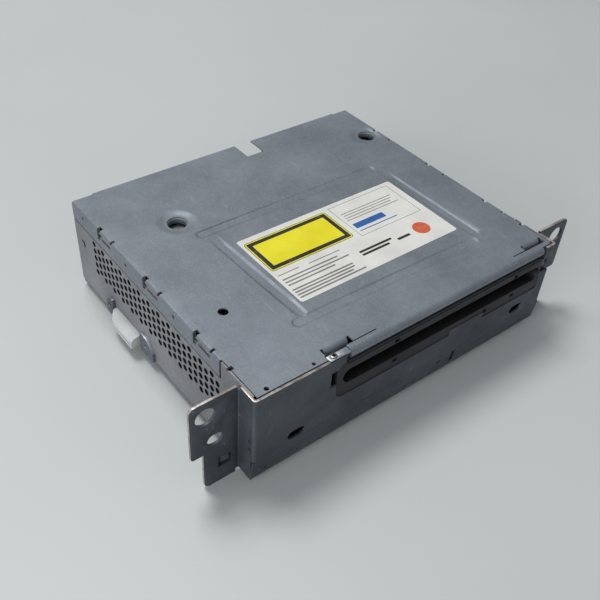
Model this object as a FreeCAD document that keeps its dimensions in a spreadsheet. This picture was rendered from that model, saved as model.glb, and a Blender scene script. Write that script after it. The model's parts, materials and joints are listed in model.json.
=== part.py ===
import FreeCAD, Part
import math
import os
import Sketcher

Vector = FreeCAD.Vector
doc = FreeCAD.newDocument("disc_player")

# Driving dimensions in millimetres. Inside the player x runs across from the
# middle, y runs back from the front plate's outer face and z runs up from the
# chassis bottom.
sizes = {
    # housing envelope, one slot of a dashboard
    "body_width": 178.0,
    "body_depth": 160.0,
    "body_height": 50.8,
    "ear_drop": 2.0,
    "connector_reach": 4.0,
    "sheet": 0.8,
    "plate_sheet": 1.2,
    "seam_gap": 0.1,
    # front plate with returns and ears
    "plate_bend": 1.6,
    "plate_inner_bend": 0.5,
    "ear_reach": 113.0,
    "ear_back": 12.0,
    "ear_step_height": 20.0,
    "ear_step_reach": 107.3,
    "ear_corner": 3.0,
    "ear_hole_reach": 105.8,
    "ear_hole_height": 42.6,
    "ear_hole_bore": 9.2,
    "ear_slot_reach": 101.5,
    "ear_slot_height": 26.6,
    "ear_slot_length": 7.4,
    "ear_slot_width": 6.1,
    "ear_window_reach": 97.0,
    "ear_window_height": 10.2,
    "ear_window_width": 6.6,
    "ear_window_rise": 6.2,
    "ear_relief": 1.6,
    "window_left": 44.0,
    "window_right": 83.3,
    "window_floor": 25.5,
    "window_corner": 5.0,
    "tongue_left": 21.2,
    "tongue_right": 43.5,
    "tongue_top": 29.0,
    "plate_oval_left": 68.2,
    "plate_oval_right": 70.7,
    "plate_oval_height": 17.9,
    "plate_oval_length": 9.6,
    "plate_oval_width": 4.8,
    "clip_left": 51.5,
    "clip_width": 5.0,
    "clip_floor": 34.5,
    "clip_top": 43.6,
    "band_top": 13.0,
    "band_lean": 1.6,
    "band_bend": 2.2,
    "band_flange": 9.4,
    "band_slit_place": 28.5,
    "band_slit_width": 3.0,
    "band_slit_low": 4.4,
    "band_slit_high": 12.0,
    "relief_bore": 1.6,
    "relief_low": 19.5,
    "relief_high": 24.4,
    # walls
    "wall_start": 3.0,
    "wall_bend": 1.8,
    "wall_flange": 6.4,
    "flange_drop": 9.3,
    "flange_start": 26.5,
    "joggle_run": 0.9,
    "wall_end": 159.2,
    "vent_bore": 2.9,
    "vent_last": 138.0,
    "vent_pitch": 4.4,
    "vent_rise": 4.37,
    "vent_top": 37.9,
    "vent_columns": 13,
    "vent_long_rows": 5,
    "vent_short_rows": 4,
    "lug_proud": 1.6,
    "lug_floor": 2.4,
    "lug_rise": 11.1,
    "lug_round": 8.6,
    "front_lug_start": 82.5,
    "front_lug_end": 94.3,
    "rear_lug_start": 121.6,
    "rear_lug_end": 128.6,
    "rear_lug_round": 6.0,
    "lug_hole_height": 8.2,
    "lug_hole_bore": 2.0,
    "wall_dimple_place": 151.8,
    "wall_dimple_height": 29.4,
    "wall_dimple_bore": 4.0,
    # bottom and rear
    "bottom_start": 9.8,
    "bottom_inset": 0.4,
    "bottom_screw_bore": 3.2,
    "bottom_screw_front": 20.0,
    "bottom_screw_rear": 148.0,
    "bottom_screw_inset": 3.4,
    "bottom_screw_head": 5.6,
    "bottom_screw_head_rise": 1.2,
    "bottom_screw_shank": 3.0,
    "bottom_screw_length": 2.6,
    # cover
    "cover_bend": 1.2,
    "cover_inner_bend": 0.4,
    "cover_tongue_left": 77.6,
    "cover_tongue_right": 78.4,
    "lip_left": 41.2,
    "lip_right": 82.0,
    "lip_round": 5.0,
    "lip_drop": 5.2,
    "lip_stand": 0.2,
    "notch_left": 8.5,
    "notch_right": 19.3,
    "notch_start": 147.2,
    "notch_floor": 38.0,
    "bead_width": 5.0,
    "bead_depth": 0.5,
    "bead_left": 46.4,
    "bead_right": 61.6,
    "bead_side_start": 30.4,
    "bead_side_end": 91.3,
    "bead_front": 25.6,
    "bead_rear": 101.1,
    "bead_cross_left": 49.6,
    "bead_cross_right": 56.8,
    "dimple_left": 54.5,
    "dimple_left_place": 116.2,
    "dimple_right": 79.8,
    "dimple_right_place": 130.0,
    "dimple_bore": 17.0,
    "dimple_floor_bore": 12.0,
    "dimple_hole_bore": 8.4,
    "dimple_depth": 3.0,
    "big_hole_left": 71.7,
    "big_hole_place": 49.8,
    "big_hole_bore": 4.8,
    "corner_hole_left": 82.2,
    "corner_hole_bore": 2.2,
    "edge_hole_left": 58.8,
    "edge_hole_bore": 1.8,
    "front_hole_place": 3.6,
    "pocket_start": 4.6,
    "pocket_end": 8.4,
    "left_pocket_left": 52.2,
    "left_pocket_right": 36.8,
    "left_slit_right": 24.2,
    "right_pocket_left": 72.5,
    "right_pocket_right": 86.6,
    "right_slit_left": 63.7,
    "slit_width": 0.9,
    "clip_line_height": 46.1,
    "clip_line_width": 0.5,
    "clip_line_length": 14.0,
    "clip_slit_top": 49.4,
    "clip_first": 132.3,
    "clip_pitch": 43.2,
    "flange_hole_ahead": 15.6,
    "flange_hole_height": 47.2,
    "flange_hole_bore": 1.6,
    # front tab, sticker and bumper
    "tab_left": 52.5,
    "tab_right": 41.6,
    "tab_start": 0.6,
    "tab_end": 4.2,
    "tab_leg": 3.2,
    "tab_gap": 0.3,
    "tab_screw_left": 49.4,
    "tab_screw_place": 2.4,
    "tab_screw_head": 3.2,
    "tab_screw_rise": 0.5,
    "tab_screw_shank": 1.6,
    "tab_screw_length": 3.4,
    "label_left": 40.2,
    "label_right": 57.1,
    "label_start": 35.6,
    "label_end": 86.7,
    "label_thick": 0.15,
    "bumper_start": 95.5,
    "bumper_end": 120.5,
    "bumper_floor": 3.5,
    "bumper_top": 9.4,
    "bumper_reach": 6.3,
    "bumper_wall": 1.2,
    "bumper_round": 2.6,
    # disc, slot and felts
    "disc_bore": 120.0,
    "slot_middle": 18.8,
    "slot_spare": 6.8,
    "slot_height": 35.5,
    "slot_rise": 8.0,
    "bezel_set": 2.8,
    "bezel_sheet": 1.2,
    "bezel_left": 50.4,
    "bezel_right": 87.0,
    "bezel_floor": 23.6,
    "bezel_top": 46.4,
    "collar_wall": 1.2,
    "collar_depth": 4.0,
    "bezel_hole_width": 3.0,
    "bezel_hole_rise": 1.9,
    "bezel_hole_left": 14.5,
    "bezel_hole_right": 64.2,
    "bezel_hole_middle": 43.2,
    "bezel_upper_hole": 42.4,
    "bezel_lower_hole": 28.6,
    "hook_rise": 6.0,
    "hook_width": 3.0,
    "felt_thick": 0.6,
    "felt_gap": 0.8,
    "felt_lap": 0.7,
    # drive frame hung in the middle of the slot
    "frame_sheet": 1.0,
    "frame_bend": 1.6,
    "frame_inner_bend": 0.6,
    "frame_spare": 2.5,
    "frame_start": 12.0,
    "frame_end": 148.0,
    "frame_floor": 12.0,
    "frame_top": 41.0,
    "frame_rear_top": 34.0,
    "frame_opening_half": 28.5,
    "frame_opening_start": 66.0,
    "frame_opening_end": 143.0,
    "leg_length": 12.0,
    "leg_front": 22.0,
    "leg_rear": 128.0,
    "shelf_height": 44.6,
    "shelf_length": 15.0,
    "shelf_left_reach": 16.5,
    "shelf_right_reach": 10.5,
    "transport_screw_head": 6.2,
    "transport_screw_rise": 1.4,
    "transport_screw_shank": 2.4,
    "transport_screw_length": 5.0,
    "transport_screw_ahead": 2.4,
    # guide plate over the mouth
    "guide_start": 12.4,
    "guide_end": 31.0,
    "guide_floor": 38.2,
    "guide_rise": 2.8,
    # roller and its bracket
    "roller_place": 13.4,
    "roller_height": 29.6,
    "roller_bore": 6.8,
    "roller_waist": 5.4,
    "roller_shaft": 3.0,
    "roller_half": 54.0,
    "bracket_half": 57.0,
    "bracket_place": 36.0,
    "bracket_height": 27.0,
    "bracket_arm": 7.0,
    "bracket_web_height": 22.6,
    "bracket_web_start": 21.0,
    "bracket_web_end": 33.0,
    "pivot_bore": 3.0,
    "running_gap": 0.05,
    "roller_swing": 6.6,
    "roller_lift": 9.0,
    "bracket_chamfer": 1.0,
    "roller_shaft_past": 1.0,
    # gears and belt
    "gear_module": 0.5,
    "gear_width": 2.0,
    "roller_gear_teeth": 12,
    "drive_gear_teeth": 20,
    "drive_place": 18.8,
    "drive_height": 40.0,
    "drive_stud": 2.4,
    "side_gap": 0.4,
    "drive_pulley_bore": 14.0,
    "motor_pulley_bore": 4.4,
    "pulley_rim": 0.8,
    "pulley_width": 2.6,
    "belt_thick": 0.8,
    "belt_width": 1.0,
    # loading motor
    "motor_place": 52.0,
    "motor_height": 38.0,
    "motor_bore": 15.0,
    "motor_length": 18.0,
    "motor_shaft": 1.5,
    "motor_mount_half": 8.5,
    "motor_shaft_depth": 2.0,
    "stud_past": 0.6,
    "pulley_clear": 1.0,
    "motor_mount_floor": 29.0,
    "motor_mount_top": 47.0,
    # mode slider along the frame's left wall
    "slider_thick": 1.0,
    "slider_start": 33.0,
    "slider_round": 2.0,
    "slider_slant_run": 12.0,
    "slider_slant_drop": 6.0,
    "cam_margin": 2.0,
    "cam_width": 4.0,
    "slider_end": 121.0,
    "slider_floor": 20.0,
    "slider_top": 31.0,
    "slider_forward": 3.0,
    "slider_back": 5.0,
    "rivet_front": 48.0,
    "rivet_rear": 106.0,
    "rivet_height": 25.0,
    "rivet_neck": 3.0,
    "rivet_head": 5.2,
    "rivet_head_thick": 0.6,
    "slot_play": 0.2,
    # floating deck
    "disc_place": 74.0,
    "deck_sheet": 1.2,
    "deck_height": 24.0,
    "deck_half": 44.0,
    "deck_start": 46.0,
    "deck_end": 141.2,
    "deck_corner": 6.0,
    "deck_window_half": 24.5,
    "damper_half": 37.0,
    "damper_front": 56.0,
    "damper_rear": 131.0,
    "damper_bore": 9.0,
    "damper_waist": 6.0,
    "spring_bore": 13.0,
    "spring_wire": 0.8,
    "spring_turns": 2.0,
    # spindle and turntable
    "spindle_shaft": 2.0,
    "spindle_motor_bore": 24.0,
    "spindle_motor_rise": 6.2,
    "spindle_boss_bore": 8.0,
    "spindle_boss_rise": 2.2,
    "platter_bore": 28.0,
    "platter_top": 31.2,
    "platter_thick": 1.6,
    "platter_hub": 10.0,
    "platter_stand": 0.3,
    "cone_base": 14.8,
    "cone_tip": 11.0,
    "cone_rise": 1.7,
    # pickup
    "rod_half": 20.0,
    "rod_height": 27.0,
    "rod_bore": 3.0,
    "rod_start": 80.6,
    "rod_ear_width": 7.0,
    "rod_bracket_side": 5.0,
    "sled_bracket_half": 6.0,
    "sled_bracket_below": 4.0,
    "rod_ear_top": 29.8,
    "pickup_inner": 23.0,
    "pickup_travel": 35.0,
    "sled_ahead": 14.0,
    "sled_behind": 2.4,
    "sled_floor": 25.6,
    "sled_top": 29.1,
    "sled_boss": 6.2,
    "sled_web_half": 12.0,
    "lens_bore": 5.6,
    "lens_rise": 1.1,
    "lens_dome_rise": 0.22,
    "lens_dome_bore": 3.92,
    "lens_sunk": 0.6,
    "screw_teeth": 22,
    "pinion_teeth": 12,
    "mesh_play": 0.12,
    "sled_motor_height": 18.6,
    "sled_motor_bore": 8.8,
    "sled_motor_length": 20.0,
    "sled_shaft_depth": 3.0,
    "sled_slant": 2.0,
    "sled_motor_shaft": 1.2,
    # clamp arm and clamper
    "arm_pivot_place": 138.0,
    "arm_pivot_height": 41.0,
    "arm_height": 42.2,
    "arm_sheet": 1.0,
    "arm_half": 12.0,
    "arm_tip_half": 8.0,
    "arm_tip_past": 9.0,
    "arm_flange": 5.2,
    "pivot_ear_margin": 3.0,
    "pivot_ear_round": 2.0,
    "arm_flange_length": 16.0,
    "arm_rear_past": 1.6,
    "arm_shoulder_run": 8.0,
    "arm_tip_round": 7.2,
    "arm_step": 1.0,
    "arm_ear_ahead": 2.2,
    "arm_ear_behind": 0.6,
    "arm_ear_round": 1.0,
    "ear_gap": 0.8,
    "ear_sheet": 1.2,
    "arm_pin_bore": 2.4,
    "clamper_bore": 24.0,
    "clamper_floor": 38.3,
    "clamper_recess": 16.0,
    "clamper_recess_rise": 1.8,
    "clamper_neck": 6.0,
    "clamper_cap": 12.0,
    "clamper_cap_rise": 1.0,
    "clamper_play": 0.3,
    # boards and parts on them
    "board_floor": 5.0,
    "board_thick": 1.6,
    "board_half": 84.0,
    "board_start": 16.0,
    "board_end": 156.0,
    "board_gap": 0.6,
    "post_bore": 5.0,
    "post_inset": 4.0,
    "post_stand_off": 1.0,
    "tuner_left": 82.0,
    "tuner_width": 28.0,
    "tuner_start": 22.0,
    "tuner_length": 42.0,
    "tuner_rise": 13.0,
    "tuner_fold": 1.4,
    "tuner_step": 0.4,
    "tuner_lid_rise": 4.2,
    "capacitor_bore": 10.0,
    "capacitor_rise": 16.0,
    "capacitor_left": 78.0,
    "capacitor_pitch": 11.0,
    "capacitor_place": 76.0,
    "capacitor_count": 3,
    "sink_left": 84.0,
    "sink_base": 3.0,
    "sink_width": 16.0,
    "sink_start": 90.0,
    "sink_length": 50.0,
    "sink_rise": 34.0,
    "sink_fin": 1.4,
    "sink_fins": 7,
    "amplifier_length": 24.0,
    "amplifier_thick": 4.5,
    "amplifier_rise": 16.0,
    "amplifier_lift": 6.0,
    "lead_thick": 0.6,
    "lead_inset": 1.0,
    "lead_width": 1.0,
    "lead_count": 8,
    "connector_left": 58.0,
    "connector_width": 50.0,
    "connector_rise": 18.0,
    "connector_depth": 15.0,
    "connector_wall": 1.6,
    "connector_socket_depth": 9.0,
    "connector_fit": 0.4,
    "antenna_left": 86.0,
    "antenna_width": 14.0,
    "antenna_floor": 23.0,
    "antenna_rise": 13.0,
    "antenna_depth": 14.0,
    "antenna_short": 1.0,
    "antenna_socket": 7.0,
    "antenna_socket_depth": 8.0,
    "antenna_foot": 5.0,
    "antenna_pin": 1.6,
    "ribbon_width": 16.0,
    "ribbon_thick": 0.3,
    "ribbon_bend": 0.6,
    "ribbon_inner_bend": 0.3,
    "ribbon_offset": 24.0,
    "ribbon_stand": 0.6,
    "ribbon_fold": 6.0,
}


class Size:
    # a length that knows its value and how the sheet works it out
    def __init__(self, value, words):
        self.value = float(value)
        self.words = words

    def __add__(self, other):
        return Size(self.value + value_of(other), f"({self.words} + {words_of(other)})")

    def __radd__(self, other):
        return Size(value_of(other) + self.value, f"({words_of(other)} + {self.words})")

    def __sub__(self, other):
        return Size(self.value - value_of(other), f"({self.words} - {words_of(other)})")

    def __rsub__(self, other):
        return Size(value_of(other) - self.value, f"({words_of(other)} - {self.words})")

    def __mul__(self, other):
        return Size(self.value * value_of(other), f"({self.words} * {words_of(other)})")

    def __rmul__(self, other):
        return Size(value_of(other) * self.value, f"({words_of(other)} * {self.words})")

    def __truediv__(self, other):
        return Size(self.value / value_of(other), f"({self.words} / {words_of(other)})")

    def __rtruediv__(self, other):
        return Size(value_of(other) / self.value, f"({words_of(other)} / {self.words})")

    def __neg__(self):
        return Size(-self.value, f"(0 - {self.words})")


def value_of(number):
    return number.value if isinstance(number, Size) else float(number)


def words_of(number):
    return number.words if isinstance(number, Size) else repr(float(number))


sheet = doc.addObject("Spreadsheet::Sheet", "Sizes")
for row, (alias, value) in enumerate(sizes.items(), start=1):
    sheet.set(f"A{row}", str(value))
    sheet.setAlias(f"A{row}", alias)
doc.recompute()


class Driving:
    # every driving dimension by its own name
    def __getattr__(self, alias):
        return Size(sizes[alias], f"Sizes.{alias}")


d = Driving()


def bind(owner, path, number):
    if isinstance(number, Size):
        owner.setExpression(path, number.words)


def root_of_squares(long_side, short_side):
    # the other short side of a right triangle
    value = math.sqrt(value_of(long_side) ** 2 - value_of(short_side) ** 2)
    return Size(value, f"sqrt(({words_of(long_side)})^2 - ({words_of(short_side)})^2)")


# Shapes for sketches

def loop(*points):
    # closed outline; a third number rounds that corner
    return ("loop", points)


def block(left, right, low, high):
    return loop((left, low), (right, low), (right, high), (left, high))


def ring(across, up, bore):
    return ("ring", across, up, bore)


def slot(left, right, up, width):
    # straight slot with round ends, lying along the sketch's first axis
    return ("slot", left, right, up, width)


def many_sided(across, up, bore, sides):
    points = []
    for side in range(sides):
        turn = 2 * math.pi * (side + 0.5) / sides
        points.append((across + bore / 2 * math.cos(turn), up + bore / 2 * math.sin(turn)))
    return loop(*points)


def faceted_slot(left, right, up, width, upright=False):
    # long slot whose ends are four flats each
    points = []
    for centre, first in ((right - width / 2, -90), (left + width / 2, 90)):
        for flat in range(5):
            turn = math.radians(first + 45 * flat)
            along = centre + width / 2 * round(math.cos(turn), 9)
            over = up + width / 2 * round(math.sin(turn), 9)
            points.append((over, along) if upright else (along, over))
    if upright:
        points.reverse()
    return loop(*points)


def belt_round(across, up, bore, other_across, other_up, other_bore):
    return ("belt", (across, up, bore), (other_across, other_up, other_bore))


class Draft:
    # collects geometry and constraints, then hands them to one sketch
    def __init__(self, sketch):
        self.sketch = sketch
        self.shapes = []
        self.helpers = []
        self.rules = []
        self.bound = []

    def line(self, start, end):
        self.shapes.append(Part.LineSegment(Vector(*start, 0), Vector(*end, 0)))
        return len(self.shapes) - 1

    def arc(self, centre, radius, first, last):
        circle = Part.Circle(Vector(*centre, 0), Vector(0, 0, 1), radius)
        self.shapes.append(Part.ArcOfCircle(circle, first, last))
        return len(self.shapes) - 1

    def rule(self, kind, *parts):
        number = parts[-1]
        if kind in ("DistanceX", "DistanceY", "Radius", "Diameter"):
            self.rules.append(Sketcher.Constraint(kind, *parts[:-1], value_of(number)))
            if isinstance(number, Size):
                self.bound.append((len(self.rules) - 1, number.words))
        else:
            self.rules.append(Sketcher.Constraint(kind, *parts))

    def pin(self, shape, end, across, up):
        self.rule("DistanceX", shape, end, across)
        self.rule("DistanceY", shape, end, up)

    def finish(self):
        self.sketch.addGeometry(self.shapes, False)
        self.sketch.addConstraint(self.rules)
        for index, words in self.bound:
            self.sketch.setExpression(f"Constraints[{index}]", words)


def corner_of(points, index):
    # where a rounded corner starts and ends, its centre, angles and turning side
    here = [value_of(n) for n in points[index][:2]]
    before = [value_of(n) for n in points[index - 1][:2]]
    after = [value_of(n) for n in points[(index + 1) % len(points)][:2]]
    if len(points[index]) == 2:
        return here, here, None
    radius = value_of(points[index][2])
    back = Vector(before[0] - here[0], before[1] - here[1], 0).normalize()
    ahead = Vector(after[0] - here[0], after[1] - here[1], 0).normalize()
    half = back.getAngle(ahead) / 2
    cut = radius / math.tan(half)
    middle = (back + ahead).normalize() * (radius / math.sin(half))
    start = [here[0] + back.x * cut, here[1] + back.y * cut]
    end = [here[0] + ahead.x * cut, here[1] + ahead.y * cut]
    centre = [here[0] + middle.x, here[1] + middle.y]
    left_turn = back.cross(ahead).z < 0
    return start, end, (centre, radius, left_turn)


def draw_loop(draft, points):
    corners = [corner_of(points, index) for index in range(len(points))]
    lines = []
    for index in range(len(points)):
        following = corners[(index + 1) % len(points)]
        lines.append(draft.line(corners[index][1], following[0]))
    for index, (start, end, rounding) in enumerate(corners):
        incoming = lines[index - 1]
        outgoing = lines[index]
        across, up = points[index][:2]
        if rounding is None:
            draft.rule("Coincident", incoming, 2, outgoing, 1)
            draft.pin(outgoing, 1, across, up)
            continue
        centre, radius, left_turn = rounding
        first, last = (start, end) if left_turn else (end, start)
        from_angle = math.atan2(first[1] - centre[1], first[0] - centre[0])
        to_angle = math.atan2(last[1] - centre[1], last[0] - centre[0])
        if to_angle <= from_angle:
            to_angle += 2 * math.pi
        arc = draft.arc(centre, radius, from_angle, to_angle)
        near, far = (1, 2) if left_turn else (2, 1)
        draft.shapes.append(Part.Point(Vector(value_of(across), value_of(up), 0)))
        sharp = len(draft.shapes) - 1
        draft.helpers.append(sharp)
        draft.pin(sharp, 1, across, up)
        draft.rule("PointOnObject", sharp, 1, incoming)
        draft.rule("PointOnObject", sharp, 1, outgoing)
        draft.rule("Tangent", incoming, 2, arc, near)
        draft.rule("Tangent", arc, far, outgoing, 1)
        draft.rule("Radius", arc, points[index][2])


def draw_ring(draft, across, up, bore):
    centre = Vector(value_of(across), value_of(up), 0)
    draft.shapes.append(Part.Circle(centre, Vector(0, 0, 1), value_of(bore) / 2))
    circle = len(draft.shapes) - 1
    draft.pin(circle, 3, across, up)
    draft.rule("Diameter", circle, bore)


def draw_slot(draft, ends, width):
    # two half circles joined by two straight sides
    radius = value_of(width) / 2
    near, far = [Vector(value_of(a), value_of(b), 0) for a, b in ends]
    first = draft.arc((near.x, near.y), radius, math.pi / 2, 3 * math.pi / 2)
    below = draft.line((near.x, near.y - radius), (far.x, far.y - radius))
    second = draft.arc((far.x, far.y), radius, math.pi / -2, math.pi / 2)
    above = draft.line((far.x, far.y + radius), (near.x, near.y + radius))
    draft.rule("Tangent", first, 2, below, 1)
    draft.rule("Tangent", below, 2, second, 1)
    draft.rule("Tangent", second, 2, above, 1)
    draft.rule("Tangent", above, 2, first, 1)
    draft.pin(first, 3, *ends[0])
    draft.pin(second, 3, *ends[1])
    draft.rule("Diameter", first, width)


def draw_belt(draft, near, far):
    # a band round two pulleys that lie along the sketch's first axis
    start = Vector(value_of(near[0]), value_of(near[1]), 0)
    end = Vector(value_of(far[0]), value_of(far[1]), 0)
    big = value_of(near[2]) / 2
    small = value_of(far[2]) / 2
    along = end - start
    lean = math.atan2(along.y, along.x)
    spread = math.acos((big - small) / along.Length)
    top = lean + spread
    bottom = lean - spread
    first = draft.arc((start.x, start.y), big, top, bottom + 2 * math.pi)
    second = draft.arc((end.x, end.y), small, bottom, top)

    def edge(centre, radius, angle):
        return centre.x + radius * math.cos(angle), centre.y + radius * math.sin(angle)

    under = draft.line(edge(start, big, bottom), edge(end, small, bottom))
    over = draft.line(edge(end, small, top), edge(start, big, top))
    draft.rule("Tangent", first, 2, under, 1)
    draft.rule("Tangent", under, 2, second, 1)
    draft.rule("Tangent", second, 2, over, 1)
    draft.rule("Tangent", over, 2, first, 1)
    draft.pin(first, 3, near[0], near[1])
    draft.pin(second, 3, far[0], far[1])
    draft.rule("Diameter", first, near[2])
    draft.rule("Diameter", second, far[2])


def draw(sketch, shapes):
    draft = Draft(sketch)
    for kind, *parts in shapes:
        if kind == "loop":
            draw_loop(draft, parts[0])
        elif kind == "ring":
            draw_ring(draft, *parts)
        elif kind == "slot":
            left, right, up, width = parts
            draw_slot(draft, [(left + width / 2, up), (right - width / 2, up)], width)
        else:
            draw_belt(draft, *parts)
    draft.finish()
    for helper in draft.helpers:
        sketch.setConstruction(helper, True)


front_face = (d.body_depth + d.connector_reach) / -2
pieces = []
cuts = []

# how far a cut passes the faces it goes through, and how deep fused forms meet
beyond = 1
merge = 0.2

# small round forms are drawn with flats
vent_sides = 5
small_sides = 8
middling_sides = 16
large_sides = 24


class Piece:
    # one separate solid, or one group of like solids, of the player
    def __init__(self, name):
        self.name = name
        self.body = doc.addObject("PartDesign::Body", name)
        self.body.Label = name
        self.origin = {feature.Role: feature for feature in self.body.Origin.OriginFeatures}
        self.body.Placement.Base = Vector(0, front_face.value, d.ear_drop.value)
        bind(self.body, "Placement.Base.y", front_face)
        bind(self.body, "Placement.Base.z", d.ear_drop)
        self.steps = 0
        pieces.append(self)

    def step(self, kind):
        self.steps += 1
        return f"{self.name}_{kind}_{self.steps}"

    def sketch(self, plane, away, shapes, at=(0, 0), turn=0):
        sketch = self.body.newObject("Sketcher::SketchObject", self.step("sketch"))
        sketch.AttachmentSupport = [(self.origin[plane + "_Plane"], "")]
        sketch.MapMode = "FlatFace"
        place = Vector(value_of(at[0]), value_of(at[1]), value_of(away))
        rotation = FreeCAD.Rotation(Vector(0, 0, 1), turn)
        sketch.AttachmentOffset = FreeCAD.Placement(place, rotation)
        bind(sketch, "AttachmentOffset.Base.x", at[0])
        bind(sketch, "AttachmentOffset.Base.y", at[1])
        bind(sketch, "AttachmentOffset.Base.z", away)
        draw(sketch, shapes)
        return sketch

    def feature(self, kind, sketch):
        feature = self.body.newObject(f"PartDesign::{kind}", self.step(kind.lower()))
        feature.Profile = sketch
        sketch.Visibility = False
        return feature

    def pad(self, plane, low, high, *shapes, at=(0, 0), turn=0):
        # material between two heights along the plane's own world axis
        away = -1 * high if plane == "XZ" else low
        feature = self.feature("Pad", self.sketch(plane, away, shapes, at, turn))
        feature.Length = value_of(high) - value_of(low)
        bind(feature, "Length", high - low)
        return feature

    def cut(self, plane, low, high, *shapes, at=(0, 0), turn=0):
        away = -1 * low if plane == "XZ" else high
        feature = self.feature("Pocket", self.sketch(plane, away, shapes, at, turn))
        feature.Length = value_of(high) - value_of(low)
        bind(feature, "Length", high - low)
        cuts.append(feature)
        return feature

    def stack(self, plane, at, sides, *layers):
        # one disc over the next, each with its two heights and its bore
        for low, high, bore in layers:
            self.pad(plane, low, high, many_sided(0, 0, bore, sides), at=at)

    def taper(self, plane, low, high, low_shape, high_shape, kind="AdditiveLoft"):
        sign = -1 if plane == "XZ" else 1
        feature = self.feature(kind, self.sketch(plane, sign * low, [low_shape]))
        far = self.sketch(plane, sign * high, [high_shape])
        far.Visibility = False
        feature.Sections = [far]
        feature.Ruled = True
        if kind == "SubtractiveLoft":
            cuts.append(feature)
        return feature

    def turn(self, axis, centre, *shapes):
        # the profile's radius lies across for a Z axis and up for an X or Y axis
        if axis == "Z":
            sketch = self.sketch("XZ", -1 * centre[1], shapes, at=(centre[0], 0))
        elif axis == "X":
            sketch = self.sketch("XY", centre[1], shapes, at=(0, centre[0]))
        else:
            sketch = self.sketch("YZ", centre[0], shapes, at=(0, centre[1]))
        feature = self.feature("Revolution", sketch)
        feature.ReferenceAxis = (sketch, ["V_Axis" if axis == "Z" else "H_Axis"])
        feature.Angle = 360
        return feature

    def row(self, feature, axis, length, count, backwards=False):
        pattern = self.body.newObject("PartDesign::LinearPattern", self.step("row"))
        pattern.Originals = [feature]
        pattern.Direction = (self.origin[axis + "_Axis"], [""])
        pattern.Length = value_of(length)
        pattern.Occurrences = int(value_of(count))
        pattern.Reversed = backwards
        bind(pattern, "Length", length)
        bind(pattern, "Occurrences", count)
        self.body.Tip = pattern
        return pattern

    def wheel(self, feature, count):
        # copies round the normal of the feature's own sketch
        pattern = self.body.newObject("PartDesign::PolarPattern", self.step("wheel"))
        pattern.Originals = [feature]
        pattern.Axis = (feature.Profile[0], ["N_Axis"])
        pattern.Angle = 360
        pattern.Occurrences = int(value_of(count))
        bind(pattern, "Occurrences", count)
        self.body.Tip = pattern
        return pattern


# a tooth's proportions, in modules
tooth_depth = 1.15
tooth_height = 0.85
tooth_foot = 1.05
tooth_head = 0.42
tooth_buried = 0.3


def spur_teeth(piece, plane, low, high, teeth, bore, at, turn=0):
    # root disc, one tapered tooth and its copies round the hub
    module = d.gear_module
    root = module * (teeth / 2 - tooth_depth)
    tip = module * (teeth / 2 + tooth_height)
    foot = module * tooth_foot
    head = module * tooth_head
    piece.pad(plane, low, high, ring(0, 0, root * 2), ring(0, 0, bore), at=at)
    inner = root - module * tooth_buried
    tooth = loop((inner, -1 * foot), (root, -1 * foot), (tip, -1 * head), (tip, head),
                 (root, foot), (inner, foot))
    wedge = piece.pad(plane, low, high, tooth, at=at, turn=turn)
    piece.wheel(wedge, teeth)


half_width = d.body_width / 2
plate_half = half_width + d.plate_sheet
top = d.body_height
under_top = d.body_height - d.sheet
middle = d.slot_middle


# Front plate: face, two side returns and two ears from one sheet

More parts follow.
